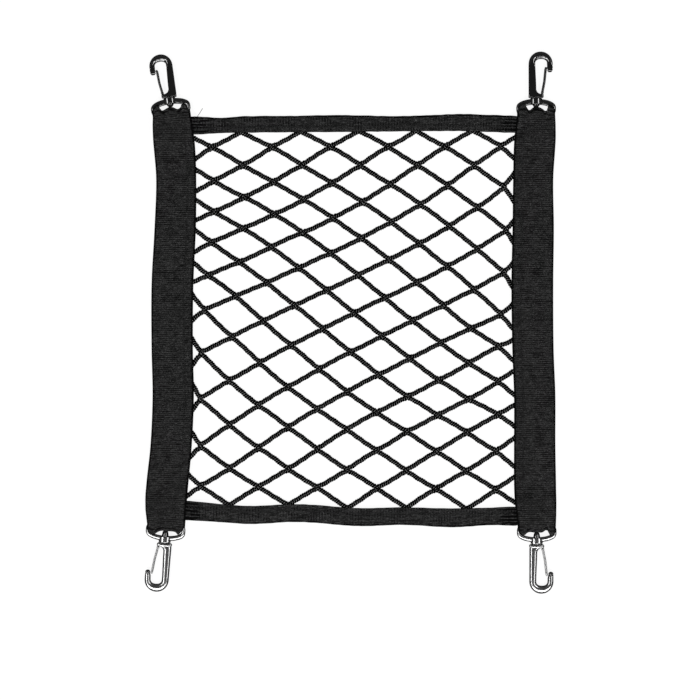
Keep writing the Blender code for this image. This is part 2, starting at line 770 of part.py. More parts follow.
def build_ring(fitting, frame):
    rings = [section(place, across, RING_BAR, RING_BAR, RING_FACETS)
             for place, across in ring_line(fitting)]
    points, faces = loft(rings, closed=True)
    ring = add_solid("ring_" + fitting.key, points, faces, fitting.finish, frame)

    start, end = BARREL
    chamfered = 1 - BARREL_EDGE / BARREL_HALF_DEPTH
    profile = ((chamfered, start), (1.0, start + BARREL_EDGE),
               (1.0, end - BARREL_EDGE), (chamfered, end))
    points, faces = turned(profile, BARREL_FACETS, BARREL_HALF_WIDTH, BARREL_HALF_DEPTH)
    barrel = add_solid("guide_barrel_" + fitting.key, points, faces, fitting.finish, frame)
    combine(ring, barrel, "UNION")

    cutter = ((BORE, start - BORE_OVERRUN), (BORE, end + BORE_OVERRUN))
    points, faces = turned(cutter, STUD_FACETS)
    bore = add_solid("guide_bore_" + fitting.key, points, faces, fitting.finish, frame)
    combine(ring, bore, "DIFFERENCE")


# ================================================================ hooks and gates
def hook_line(fitting):
    """Centre line of a hook's body, the way across it and its in-plane width."""
    middle = Vector((HOOK_BACK + HOOK_OUTER, fitting.reach - HOOK_OUTER, 0.0))
    foot = BARREL.end + GAP + COLLAR_HEIGHT
    back = Vector((-1.0, 0.0, 0.0))
    line = []

    def put(edge, across, width):
        line.append((edge - across * (width / 2), across, width))

    put(Vector((HOOK_BACK, foot - FOOT_SINK, 0.0)), back, SPINE_FOOT_WIDTH)
    put(Vector((HOOK_BACK, foot + FOOT_LENGTH, 0.0)), back, SPINE_WAIST_WIDTH)
    put(Vector((HOOK_BACK, middle.y, 0.0)), back, SPINE_TOP_WIDTH)
    for i in range(1, HOOK_BEND_STEPS + 1):
        share = i / HOOK_BEND_STEPS
        angle = math.pi * (1 - share)
        across = Vector((math.cos(angle), math.sin(angle), 0.0))
        if share < 0.5:
            width = SPINE_TOP_WIDTH + (BEND_WIDTH - SPINE_TOP_WIDTH) * ease(share * 2)
        else:
            width = BEND_WIDTH + (NOSE_WIDTH - BEND_WIDTH) * ease(share * 2 - 1)
        put(middle + across * HOOK_OUTER, across, width)
    front = Vector((1.0, 0.0, 0.0))
    nose = middle + front * HOOK_OUTER
    put(nose + Vector((0.0, NOSE_ROUND - NOSE_LENGTH, 0.0)), front, NOSE_END_WIDTH)
    put(nose + Vector((-NOSE_SET_BACK, -NOSE_LENGTH, 0.0)), front, NOSE_TIP_WIDTH)
    return line


def mirrored(points, side):
    return [Vector((p.x * side, p.y, p.z)) for p in points]


def build_hook(fitting, frame):
    rings = []
    for place, across, width in hook_line(fitting):
        rings.append(section(place, across, width / 2, HOOK_HALF_DEPTH, HOOK_FACETS, HOOK_SQUARE))
    for ring in rings:
        for point in ring:
            point.z = max(min(point.z, HOOK_HALF_DEPTH), -HOOK_HALF_DEPTH)
    points, faces = loft(rings)
    hook = add_solid("hook_" + fitting.key, mirrored(points, fitting.side), faces,
                     fitting.finish, frame)

    start = BARREL.end + GAP
    half = Vector((COLLAR_HALF_WIDTH, COLLAR_HEIGHT / 2, COLLAR_HALF_DEPTH))
    collar = bmesh.new()
    bmesh.ops.create_cube(collar, size=2.0)
    for vertex in collar.verts:
        vertex.co = Vector(a * b for a, b in zip(vertex.co, half))
    bmesh.ops.bevel(collar, geom=collar.edges[:], offset=COLLAR_ROUND, segments=2, profile=0.5,
                    affect="EDGES")
    centre = Vector((0.0, start + COLLAR_HEIGHT / 2, 0.0))
    points = [vertex.co + centre for vertex in collar.verts]
    collar.verts.index_update()
    faces = [tuple(vertex.index for vertex in face.verts) for face in collar.faces]
    collar.free()
    guide = add_solid("guide_collar_" + fitting.key, points, faces, fitting.finish, frame)
    combine(hook, guide, "UNION")

    head = BARREL.start - GAP
    profile = ((STUD_TIP, fitting.stud_tip), (STUD_HEAD, head - STUD_HEAD_LENGTH),
               (STUD_HEAD, head), (STUD, head), (STUD, start + STUD_SINK))
    points, faces = turned(profile, STUD_FACETS)
    guide = add_solid("guide_stud_" + fitting.key, points, faces, fitting.finish, frame)
    combine(hook, guide, "UNION")


def gate_line(fitting):
    """Centre line of the leaf from its root, in the frame of its root."""
    nose_end = fitting.reach - HOOK_OUTER - NOSE_LENGTH
    tip_u = HOOK_BACK + 2 * HOOK_OUTER - NOSE_WIDTH - GAP - GATE_HALF_THICK - GATE_SLACK
    root = Vector((*GATE_ROOT, 0.0))
    tip = Vector((tip_u, nose_end + GATE_LAP, 0.0))
    knee = tip - Vector((GATE_TURN, GATE_KNEE, 0.0))
    middle = (root + knee) / 2 + Vector((GATE_BOW, 0.0, 0.0))
    return [place - root for place in (root, root.lerp(middle, 0.5), middle, knee, tip)]


def build_gate(fitting, frame):
    line = gate_line(fitting)
    rings = []
    for i, place in enumerate(line):
        before, after = line[max(i - 1, 0)], line[min(i + 1, len(line) - 1)]
        along = (after - before).normalized()
        across = Vector((along.y, -along.x, 0.0))
        rings.append(section(place, across, GATE_HALF_THICK, GATE_HALF_DEPTH,
                             GATE_FACETS, GATE_SQUARE))
    foot = section(line[0] - Vector((0.0, GATE_FOOT, 0.0)), Vector((1.0, 0.0, 0.0)),
                   GATE_FOOT_THIN, GATE_HALF_DEPTH * GATE_FOOT_SHARE, GATE_FACETS, GATE_SQUARE)
    points, faces = loft([foot] + rings)
    root = Matrix.Translation(Vector((GATE_ROOT.u * fitting.side, GATE_ROOT.v, 0.0)) * MM)
    pivot = add_empty("pivot_gate_" + fitting.key, root, frame)
    add_solid("gate_" + fitting.key, mirrored(points, fitting.side), faces,
              "gate_" + fitting.finish, pivot)


# ================================================================ the whole net
def main():
    for thing in list(bpy.data.objects):
        bpy.data.objects.remove(thing, do_unlink=True)
    by_key = {fitting.key: fitting for fitting in FITTINGS}
    build_net()
    build_strip("strip_top", TOP_STRIP)
    build_strip("strip_bottom", BOTTOM_STRIP)
    build_band("left", by_key["bl"], by_key["tl"])
    build_band("right", by_key["br"], by_key["tr"])
    for fitting in FITTINGS:
        frame = add_empty("frame_" + fitting.key, fitting_matrix(fitting))
        build_ring(fitting, frame)
        build_hook(fitting, frame)
        build_gate(fitting, frame)


main()
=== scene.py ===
"""Looks of a small cargo net: twisted elastic cords, ribbed binding tape, webbing bands with
their stitching, and cast rings and hooks.

Sizes are in millimetres unless a name says otherwise, and meshes are written in metres.
"""
import random
from collections import namedtuple
from math import asin, copysign, cos, exp, pi, radians, sin, sqrt, tau

import bmesh
import bpy
from mathutils import Euler, Matrix, Vector, noise


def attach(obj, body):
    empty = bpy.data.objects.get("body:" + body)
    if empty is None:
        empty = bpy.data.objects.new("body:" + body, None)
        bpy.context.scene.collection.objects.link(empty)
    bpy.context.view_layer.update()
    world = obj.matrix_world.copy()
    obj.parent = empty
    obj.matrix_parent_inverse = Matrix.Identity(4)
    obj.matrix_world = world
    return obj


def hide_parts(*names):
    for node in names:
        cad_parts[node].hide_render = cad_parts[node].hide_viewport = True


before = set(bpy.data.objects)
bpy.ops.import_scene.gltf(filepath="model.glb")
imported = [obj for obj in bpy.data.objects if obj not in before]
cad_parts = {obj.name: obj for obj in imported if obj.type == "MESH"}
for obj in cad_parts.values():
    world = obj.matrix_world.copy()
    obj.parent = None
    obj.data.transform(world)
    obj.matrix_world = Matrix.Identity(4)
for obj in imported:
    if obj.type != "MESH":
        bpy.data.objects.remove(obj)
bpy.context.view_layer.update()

MM = 0.001
GAP = 0.3  # room between pieces
ROOT = "net_and_rings"

# ---------------- the net's plan
CORD_HALF = 2.2  # half the width of a cord
CORD_HALF_DEPTH = 1.2  # half its thickness where it lies free
PRESSED_HALF_DEPTH = 0.6  # half its thickness inside a binding or a band
COLUMNS = 5  # columns of crossings on each side of the middle one
LAST_HALF_ROW = 20
BORDER_IN_BAND = 6.0  # how far inside a band the net ends
EASE_BAND = 9.0  # the net bends up to a band or strip over these lengths
EASE_STRIP = 8.0
BEND_CLEAR = 1.0  # the bend ends this far before a strip
BEND_MARGIN = 0.4  # and this much farther before a band
# Every second half row of crossings: its Y in the middle, how far it falls toward the right
# edge, the middle crossing's X, how far the edge crossings are from it and how uneven that is.
KNOT_ROWS = (
    (155.5, 0.0, 6.4, 115.6, -2.5), (125.7, 0.0, 7.8, 115.6, -2.5),
    (96.3, 5.3, 9.6, 116.6, -2.0), (67.5, 10.9, 8.8, 117.2, -2.0),
    (37.9, 14.4, 6.0, 117.2, -1.6), (7.5, 14.8, 2.8, 117.4, -1.0),
    (-23.5, 13.1, -0.2, 118.4, 0.2), (-55.5, 9.5, -2.8, 119.4, 1.6),
    (-85.5, 4.0, -2.8, 118.8, 1.4), (-117.7, 1.5, -3.0, 118.0, 0.8),
    (-145.9, 1.6, -2.6, 118.4, 0.4),
)

# How far the crossings at the net's left and right edge are drawn up, smooth between these rows.
EdgeLift = namedtuple("EdgeLift", "half_row left right")
EDGE_LIFTS = [EdgeLift(*row) for row in (
    (3, 0.0, 0.0), (4, -0.8, 0.0), (6, -2.0, 0.0), (7, -1.5, 0.0),
    (8, -2.5, -0.5), (9, 0.0, -1.5), (10, 4.5, -0.5), (11, 4.0, 3.2),
    (12, 3.6, 3.8), (14, 4.0, 4.2), (16, 1.5, 2.6), (18, 0.0, 0.0),
)]

# ---------------- binding strips
TAPE = 1.0  # thickness of the tape
STRIP_TUCK = 8.0  # length of a strip's end between a band's layers
StripRow = namedtuple("StripRow", "x outer_y inner_y")
TOP_STRIP = [StripRow(*row) for row in (
    (-134.5, 163.9, 150.4), (-123.0, 164.6, 150.4), (-103.8, 163.6, 151.5),
    (-84.6, 164.9, 151.9), (-46.2, 165.2, 152.2), (-7.8, 165.8, 152.4),
    (40.0, 165.0, 152.9), (88.2, 166.7, 153.2), (107.4, 166.1, 152.6),
    (129.0, 165.3, 151.8), (139.0, 164.2, 151.8),
)]
BOTTOM_STRIP = [StripRow(*row) for row in (
    (-137.0, -158.0, -142.6), (-128.6, -158.0, -142.6), (-99.8, -159.7, -145.4),
    (-80.6, -161.1, -146.7), (-42.2, -159.4, -145.2), (5.8, -162.6, -148.3),
    (44.0, -161.8, -147.8), (82.6, -163.6, -148.6), (111.4, -161.9, -148.0),
    (131.0, -162.2, -147.1), (139.0, -160.4, -147.1),
)]
STRIPS = {"top": TOP_STRIP, "bottom": BOTTOM_STRIP}

# ---------------- webbing bands
WEBBING = 1.0  # thickness of the webbing
BAND_HALF = 16.4  # half a band's usual width
BAND_END_HALF = 15.0  # and half its width at its rings
NOISE_HALF = 16.0  # half the width over which its unevenness is spread
RING_REACH = 5.0  # a band's long edges end this far before its ring's middle
BandRow = namedtuple("BandRow", "y left_x right_x half")
BAND_ROWS = [BandRow(*row) for row in (
    (-166.0, -147.8, 148.5, 15.2), (-135.5, -147.0, 147.4, 16.6), (-97.1, -143.4, 147.0, 16.4),
    (-58.7, -141.8, 147.0, 16.4), (-20.3, -142.6, 145.6, 16.4), (30.0, -142.4, 145.1, 16.6),
    (75.7, -140.2, 145.8, 16.4), (114.1, -139.4, 145.8, 15.9), (142.9, -141.0, 147.0, 16.4),
    (166.0, -143.0, 148.0, 15.2),
)]

# ---------------- rings and hooks
RING_BAR = 1.6  # half the thickness of the wire
RING_HALF = 14.2
RING_CORNER = 3.0
BAR_SLACK = 0.6  # room between the straight bar and the webbing's fold
FLAT_MOST = {"black": 0.6, "grey": 0.36}  # how far bows and bends are flattened on one side
FOLD_DEEPEST = -1.0
Span = namedtuple("Span", "start end")
BARREL = Span(3.9, 8.9)
BARREL_HALF_WIDTH = 4.8
BARREL_HALF_DEPTH = 3.2
BORE = 2.1
STUD = BORE - GAP
STUD_HEAD = 2.7
STUD_TIP = ((0.5, 0.0), (1.2, 0.15), (1.8, 0.5), (2.2, 1.0))  # (radius, distance from its end)
COLLAR_HALF_WIDTH = 5.9
COLLAR_HEIGHT = 3.0
COLLAR_HALF_DEPTH = 2.9
COLLAR_ROUND = {"black": 0.6, "grey": 1.3}
COLLAR_DOME = 0.3  # share by which its face falls away toward its sides
HOOK_HALF_DEPTH = 2.2
NOSE_LENGTH = 6.6
SPINE_WAIST_WIDTH = 5.7
SPINE_TOP_WIDTH = 5.0
BEND_WIDTH = 5.9
NOSE_WIDTH = 4.2
NOSE_END_WIDTH = 4.0
GATE_ROOT = Vector((5.0, 13.4, 0.0))
GATE_HALF_DEPTH = 1.9
LEAF_SLACK = 0.12  # room between a leaf's tip and the hook's nose
GATE_LAP = 3.6  # how far a leaf reaches past the nose's end
GATE_KNEE = 1.8  # its tip turns toward the nose over this length
GATE_TURN = 0.45  # by this much
GATE_BOW = 0.35  # how far its middle bows out
GATE_FOOT = 1.1  # how far it goes on below its root
GATE_EYE = 1.15  # radius of its rounded root
LEAF_STEPS = 40
# Each corner's ring and hook, called a fit: place and turn of the ring's middle, the side to
# which the hook opens, how far it reaches, where the webbing's fold lies, and the finish.
Fitting = namedtuple("Fitting", "key x y turn side reach fold finish")
FITTINGS = {
    "tl": Fitting("tl", -143.6, 170.6, 8.0, -1, 44.4, 0.9, "black"),
    "tr": Fitting("tr", 148.0, 170.2, 0.0, 1, 46.3, 0.9, "black"),
    "bl": Fitting("bl", -147.8, -166.7, 175.0, 1, 48.8, -0.4, "grey"),
    "br": Fitting("br", 148.5, -167.8, 180.0, -1, 48.8, -0.4, "grey"),
}
LOWER = {"left": FITTINGS["bl"], "right": FITTINGS["br"]}
UPPER = {"left": FITTINGS["tl"], "right": FITTINGS["tr"]}


# ---------------- helpers
def ease(amount):
    """Smooth step from 0 to 1."""
    amount = min(max(amount, 0.0), 1.0)
    return amount * amount * (3 - 2 * amount)


def blend(start, end, amount):
    """From start to end as amount goes from 0 to 1."""
    return start + (end - start) * ease(amount)


def smooth(places, values, at):
    """A smooth curve through values at rising places."""
    last = len(places) - 1
    at = min(max(at, places[0]), places[last])
    left = max(i for i in range(last) if places[i] <= at)

    def slope(i):
        before, after = max(i - 1, 0), min(i + 1, last)
        return (values[after] - values[before]) / (places[after] - places[before])

    step = places[left + 1] - places[left]
    t = (at - places[left]) / step
    start, end = slope(left) * step, slope(left + 1) * step
    rise = values[left + 1] - values[left]
    return values[left] + t * start + t * t * (3 * rise - 2 * start - end) \
        + t * t * t * (start + end - 2 * rise)


def read(rows, field, at):
    """A field of a table of rows, smooth along the table's first column."""
    return smooth([row[0] for row in rows], [getattr(row, field) for row in rows], at)


def lumps(*place, size, seed=0.0):
    """Smooth noise from -1 to 1 whose features are about `size` across."""
    return noise.noise(Vector((*[p / size for p in place], seed)))


def in_scene(name, data):
    thing = bpy.data.objects.new(name, data)
    bpy.context.scene.collection.objects.link(thing)
    return thing


def add_piece(name, body, material, stands_for=None, rides=ROOT, matrix=None, marks=None,
              sharp=None):
    """A piece from points and faces in millimetres; marks are numbers, one for each point."""
    points, faces = body
    mesh = bpy.data.meshes.new(name)
    mesh.from_pydata([Vector(p) * MM for p in points], [], faces)
    mesh.shade_smooth()
    if sharp:
        mesh.set_sharp_from_angle(angle=radians(sharp))
    for mark, values in (marks or {}).items():
        mesh.attributes.new(mark, "FLOAT", "POINT").data.foreach_set("value", values)
    mesh.materials.append(material)
    piece = in_scene(name, mesh)
    if matrix is not None:
        mesh.transform(matrix)
    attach(piece, rides)
    if stands_for:
        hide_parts(stands_for)
    return piece


def loft(rings, closed=False):
    """Points and faces of a body through rings of equal length."""
    size = len(rings[0])
    points = [point for ring in rings for point in ring]
    faces = []
    for i in range(len(rings) if closed else len(rings) - 1):
        a, b = i * size, (i + 1) % len(rings) * size
        for j in range(size):
            k = (j + 1) % size
            faces.append((a + j, a + k, b + k, b + j))
    if not closed:
        faces.append(tuple(reversed(range(size))))
        faces.append(tuple(range(len(points) - size, len(points))))
    return points, faces


def join(parts):
    """Points and faces of several bodies as one."""
    points, faces = [], []
    for some_points, some_faces in parts:
        first = len(points)
        points += some_points
        faces += [tuple(first + index for index in face) for face in some_faces]
    return points, faces


def heading(line, i):
    """Direction of a line of points at its point i."""
    return (line[min(i + 1, len(line) - 1)] - line[max(i - 1, 0)]).normalized()


def plan(x, y):
    return Vector((x, y, 0.0))


def tube(line, radius, sides=6):
    """A round body along a line of points."""
    rings = []
    for i, place in enumerate(line):
        along = heading(line, i)
        across = along.cross(Vector((0, 0, 1)))
        across = across.normalized() if across.length > 0.05 else Vector((1, 0, 0))
        up = across.cross(along)
        rings.append([place + (across * cos(a) + up * sin(a)) * radius
                      for a in (tau * k / sides for k in range(sides))])
    return loft(rings)


# ---------------- materials
YARN = 0.8  # length along a rib in which its yarns repeat


def new_material(name, roughness, metallic=0.0, sheen=0.0, coat=0.0, specular=0.5):
    material = bpy.data.materials.new(name)
    material.use_nodes = True
    shader = material.node_tree.nodes["Principled BSDF"]
    for socket, value in {"Roughness": roughness, "Metallic": metallic, "Sheen Weight": sheen,
                          "Sheen Roughness": 0.5, "Coat Weight": coat, "Coat Roughness": 0.08,
                          "Specular IOR Level": specular}.items():
        shader.inputs[socket].default_value = value
    return material, material.node_tree, shader


def add_node(tree, kind, inputs=None, **settings):
    node = tree.nodes.new("ShaderNode" + kind)
    for key, value in settings.items():
        setattr(node, key, value)
    for socket, value in (inputs or {}).items():
        if isinstance(value, bpy.types.NodeSocket):
            tree.links.new(value, node.inputs[socket])
        else:
            node.inputs[socket].default_value = value
    return node


def math_node(tree, operation, first, second=0.0, third=0.0):
    node = add_node(tree, "Math", {0: first, 1: second, 2: third}, operation=operation)
    return node.outputs[0]


def colour(tree, shader, factor, dark, light):
    """Colour a shader from a dark to a light grey."""
    node = add_node(tree, "Mix", {0: factor}, data_type="RGBA")
    node.inputs[6].default_value = (dark, dark, dark, 1)
    node.inputs[7].default_value = (light, light, light, 1)
    tree.links.new(node.outputs[2], shader.inputs["Base Color"])


def speckle(tree, per_metre, detail=3.0):
    where = tree.nodes.get("where") or add_node(tree, "TexCoord", name="where")
    node = add_node(tree, "TexNoise", {"Vector": where.outputs["Object"], "Scale": per_metre,
                                       "Detail": detail})
    return node.outputs["Fac"]


def bump(tree, shader, height, depth, strength=1.0):
    node = add_node(tree, "Bump",
                    {"Height": height, "Distance": depth * MM, "Strength": strength})
    tree.links.new(node.outputs[0], shader.inputs["Normal"])


def mark(tree, name):
    return add_node(tree, "Attribute", attribute_name=name).outputs["Fac"]


def cloth_material(name, light, roughness, streak, yarn_axis):
    """Dark cloth with painted light on its rib crowns and painted shade in the valleys between them;
    the shade comes in random streaks and the crowns are lighter in random specks.
    """
    material, tree, shader = new_material(name, roughness, sheen=0.004, specular=0.03)

    def math_of(*values):
        return math_node(tree, *values)

    def stretched_noise(times):
        """Noise drawn out along the yarns."""
        scale = [times * part for part in streak]
        drawn = add_node(tree, "VectorMath", {0: where, 1: scale}, operation="MULTIPLY")
        return add_node(tree, "TexNoise",
                        {"Vector": drawn.outputs[0], "Scale": 1.0}).outputs["Fac"]

    fine = math_of("MAXIMUM", math_of("MULTIPLY_ADD", speckle(tree, 1100), 4.0, -1.0))
    where = tree.nodes["where"].outputs["Object"]
    streaks = math_of("MULTIPLY", math_of("SUBTRACT", stretched_noise(1.0), 0.38), 12.0)
    streaks = math_of("MAXIMUM", streaks, 0.25)
    specks = math_of("MAXIMUM", math_of("SUBTRACT", stretched_noise(2.4), 0.59))
    specks = math_of("MULTIPLY_ADD", specks, 18.0, 0.42)
    tone = math_of("MULTIPLY", math_of("POWER", mark(tree, "crown"), streaks), specks)
    colour(tree, shader, math_of("MULTIPLY", tone, fine), 0.0006, light)
    axes = add_node(tree, "SeparateXYZ", {0: where})
    along = math_of("MULTIPLY", axes.outputs[yarn_axis], tau / (YARN * MM))
    alternate = math_of("SINE", math_of("MULTIPLY", mark(tree, "rib"), pi))
    yarns = math_of("MULTIPLY", math_of("SINE", along), alternate)
    height = math_of("ADD", yarns, math_of("MULTIPLY", speckle(tree, 4000), 0.8))
    bump(tree, shader, height, 0.08, 0.8)
    return material


def cord_material():
    """Twisted cord with painted light on top of each ply and painted shade, nearly black, on its
    sides and between the plies.
    """
    material, tree, shader = new_material("twisted_cord", 0.9, specular=0.02)
    crown = math_node(tree, "POWER", mark(tree, "crown"), 2.4)
    uneven = math_node(tree, "ADD", speckle(tree, 1100), 0.2)
    colour(tree, shader, math_node(tree, "MULTIPLY", crown, uneven), 0.0008, 0.56)
    bump(tree, shader, speckle(tree, 5000), 0.12)
    return material


def thread_material():
    material, tree, shader = new_material("black_thread", 0.6, specular=0.15)
    colour(tree, shader, speckle(tree, 1500), 0.0015, 0.014)
    bump(tree, shader, speckle(tree, 6000), 0.06)
    return material


def metal_material(name, dark, light, roughness, metallic, coat, specular=1.0):
    """Cast and plated metal: slightly uneven, with faint cloudy patches."""
    material, tree, shader = new_material(name, roughness, metallic, coat=coat, specular=specular)
    shader.inputs["Coat IOR"].default_value = 2.0
    colour(tree, shader, speckle(tree, 180), dark, light)
    uneven = math_node(tree, "MULTIPLY_ADD", speckle(tree, 700), 0.12, roughness - 0.06)
    tree.links.new(uneven, shader.inputs["Roughness"])
    bump(tree, shader, speckle(tree, 260, 1.0), 0.03, 0.4)
    return material


CORD = cord_material()
TAPE_CLOTH = cloth_material("binding_tape", 0.043, 0.75, (180.0, 600.0, 100.0), "Y")
WEBBING_CLOTH = cloth_material("ribbed_webbing", 0.036, 0.7, (190.0, 620.0, 100.0), "X")
THREAD = thread_material()
METALS = {
    "black": metal_material("gloss_black", 0.005, 0.008, 0.1, 0.0, 0.0),
    "grey": metal_material("dark_nickel", 0.14, 0.19, 0.3, 1.0, 1.0),
}
LEAVES = {
    "black": metal_material("black_leaf_finish", 0.002, 0.004, 0.3, 0.0, 0.0, specular=0.3),
    "grey": metal_material("grey_leaf_finish", 0.12, 0.17, 0.36, 1.0, 0.3),
}


# ---------------- shared lines
def band_half(y):
    return read(BAND_ROWS, "half", y)


def band_inner_edges(y):
    """X of the left band's and of the right band's inner edge."""
    half = band_half(y)
    return read(BAND_ROWS, "left_x", y) + half, read(BAND_ROWS, "right_x", y) - half


def under_band(x, y):
    """0 in the open net, 1 at a band's inner edge and beyond."""
    left, right = band_inner_edges(y)
    inside = min(x - left, right - x)
    return 1 - ease((inside - BEND_CLEAR - BEND_MARGIN) / EASE_BAND)


def under_strip(x, y):
    """0 in the open net, 1 at a strip's inner edge and beyond."""
    inside = min(read(TOP_STRIP, "inner_y", x) - y, y - read(BOTTOM_STRIP, "inner_y", x))
    return 1 - ease((inside - BEND_CLEAR) / EASE_STRIP)


BAND_NET_MIDDLE = WEBBING + GAP + PRESSED_HALF_DEPTH
STRIP_HALF_DEPTH = PRESSED_HALF_DEPTH + GAP + TAPE
STRIP_LIFT = WEBBING + GAP
STRIP_ROOM = WEBBING + GAP + 2 * STRIP_HALF_DEPTH + GAP
NET_ROOM = WEBBING + GAP + 2 * PRESSED_HALF_DEPTH + GAP


def net_levels(x, y):
    """Height of the net's middle, half its thickness and how far it is held down."""
    band, strip = under_band(x, y), under_strip(x, y)
    held = max(band, strip)
    half = CORD_HALF_DEPTH + (PRESSED_HALF_DEPTH - CORD_HALF_DEPTH) * held
    middle = CORD_HALF_DEPTH + (BAND_NET_MIDDLE - CORD_HALF_DEPTH) * held
    return middle + STRIP_LIFT * band * strip, half, held


# ---------------- net
EDGE = COLUMNS + 1
PLIES = 3
CORD_NOISE = 0.05  # how uneven a cord's width is
JOINT_THIN = 0.2  # how much thinner a cord is in a crossing
PLY_FACETS = 3  # points round each ply: one on its crown and two beside it
TWIST_STEP = 0.6  # length in which the plies turn by one of those points
PLY_DIP = 0.2  # share by which the cord's surface dips between plies
JOINT_REACH = 4.5  # the two cords of a crossing draw together over this length,
JOINT_PULL = 0.36  # sideways by this share
JOINT_RISE = {1: 0.4, -1: 0.8}  # and run steeper through it by this one
JOINT_LIFT = 0.2  # how much one cord of a crossing passes over the other
BOW_MOST = 0.55  # most that a cord bows sideways between crossings
WAVE = 0.16  # and its small waves
WAVE_LENGTH = 8.5
STRIP_STUB = 5.0  # length of a cord's end inside a strip
STUB_SHIFT = 0.8  # and how far it moves aside there


def knot(column, half_row):
    """Place of a crossing; the outermost columns lie inside the bands."""
    share = column / COLUMNS
    rows = list(range(len(KNOT_ROWS)))
    mid_y, fall, mid_x, half_span, crowd = (smooth(rows, column_of, half_row / 2)
                                            for column_of in zip(*KNOT_ROWS))
    lift = read(EDGE_LIFTS, "left" if share < 0 else "right", half_row)
    y = mid_y - fall * share + lift * min(abs(share), 1.0) ** 4
    left, right = band_inner_edges(y)
    if column < -COLUMNS:
        x = left - BORDER_IN_BAND
    elif column > COLUMNS:
        x = right + BORDER_IN_BAND
    else:
        x = mid_x + half_span * share + crowd * share * share
    if half_row == 0:
        y = read(TOP_STRIP, "inner_y", x) + GAP
    if half_row == LAST_HALF_ROW:
        y = read(BOTTOM_STRIP, "inner_y", x) - GAP
    return Vector((x, y))


def strands():
    """Each cord as its crossings (column, half row), from the left; fall is 1 or -1."""
    found = []
    for fall in (1, -1):
        first_row, last_row = (0, LAST_HALF_ROW) if fall == 1 else (LAST_HALF_ROW, 0)
        starts = [(-EDGE, row) for row in range(0, LAST_HALF_ROW + 1, 2)]
        starts += [(column, first_row) for column in range(-EDGE + 2, EDGE, 2)]
        for column, row in starts:
            line = [(column, row)]
            while column < EDGE and row != last_row:
                column, row = column + 1, row + fall
                line.append((column, row))
            if len(line) > 1:
                found.append((fall, line))
    return found


def strand_points(fall, line, rng):
    """Places along a cord, as (place, width share, half thickness)."""
    ends = [knot(*place) for place in line]
    places = []
    phase = rng.uniform(0, tau)
    walked = 0.0
    for index in range(len(ends) - 1):
        a, b = ends[index], ends[index + 1]
        length = (b - a).length
        side = Vector((a.y - b.y, b.x - a.x)) / length
        bow = rng.uniform(-BOW_MOST, BOW_MOST)
        steps = round(length / TWIST_STEP)
        for i in range(steps + (index == len(ends) - 2)):
            t = i / steps
            wave = WAVE * sin(tau * (walked + t * length) / WAVE_LENGTH + phase)
            flat = a.lerp(b, t) + side * (bow + wave) * sin(pi * t)
            near, which = (a, line[index]) if t < 0.5 else (b, line[index + 1])
            joint = 1 - ease(min(t, 1 - t) * length / JOINT_REACH)
            if abs(which[0]) > COLUMNS or which[1] in (0, LAST_HALF_ROW):
                joint = 0.0
            flat.x += (near.x - flat.x) * JOINT_PULL * joint
            flat.y -= (near.y - flat.y) * JOINT_RISE[fall] * joint
            middle, half, held = net_levels(flat.x, flat.y)
            over = fall * (1 if (which[0] + which[1]) // 2 % 2 else -1)
            middle += over * JOINT_LIFT * joint * (1 - held)
            half *= 1 - JOINT_THIN * joint * (1 - held)
            uneven = 1 + CORD_NOISE * lumps(flat.x, flat.y, size=3.0, seed=fall)
            places.append((Vector((flat.x, flat.y, middle)), uneven, half))
        walked += length
    # A cord that ends at a strip goes on inside it, a little aside.
    for (column, row), end in ((line[0], places[0]), (line[-1], places[-1])):
        if row in (0, LAST_HALF_ROW) and abs(column) <= COLUMNS:
            toward = 1 if row == 0 else -1
            stub = []
            for i in range(1, int(STRIP_STUB / TWIST_STEP) + 1):
                step = plan(STUB_SHIFT * toward * ease(i / 3), toward * i * TWIST_STEP)
                stub.append((end[0] + step, 1.0, end[2]))
            places = stub[::-1] + places if end is places[0] else places + stub
    return places


def build_net():
    rng = random.Random(11)
    sides = PLIES * PLY_FACETS
    parts, painted_light_and_tone = [], []
    for fall, line in strands():
        places = strand_points(fall, line, rng)
        centres = [place[0] for place in places]
        rings = []
        for i, (place, width, half) in enumerate(places):
            along = heading(centres, i)
            across = plan(along.y, -along.x).normalized()
            up = across.cross(along)
            ring = []
            for k in range(sides):
                angle = tau * (k + i) / sides
                out = 1 if k % PLY_FACETS == 0 else 1 - PLY_DIP
                ring.append(place + across * (CORD_HALF * width * out * cos(angle))
                            + up * (half * out * sin(angle)))
                # The crown mark paints light on the top of each ply, and shade on the cord's sides
                # and between the plies.
                top = max(sin(angle), 0.0) ** 10
                painted_light_and_tone.append(top if k % PLY_FACETS == 0 else 0.0)
            rings.append(ring)
        parts.append(loft(rings))
    return add_piece("net_cords", join(parts), CORD, "net", marks={"crown": painted_light_and_tone})


# ---------------- binding strips
TAPE_RIBS = 11  # lengthwise ribs across a strip's face
TAPE_RIB_HEIGHT = 0.09
TAPE_STEP = 0.74  # length between a strip's sections: three to a pucker
PUCKER = 0.10  # depth of the crosswise puckers
HEM_FLAT = 1.7  # the folded edge rounds off over this length
HEM_STEEP = 0.5
HEM_SHARE = 0.62
SLOT_FLAT = 0.7
GATHER = 0.22  # depth of the lengthwise folds beside a band
GATHER_LENGTH = 17.0
GATHER_PITCH = 2.7


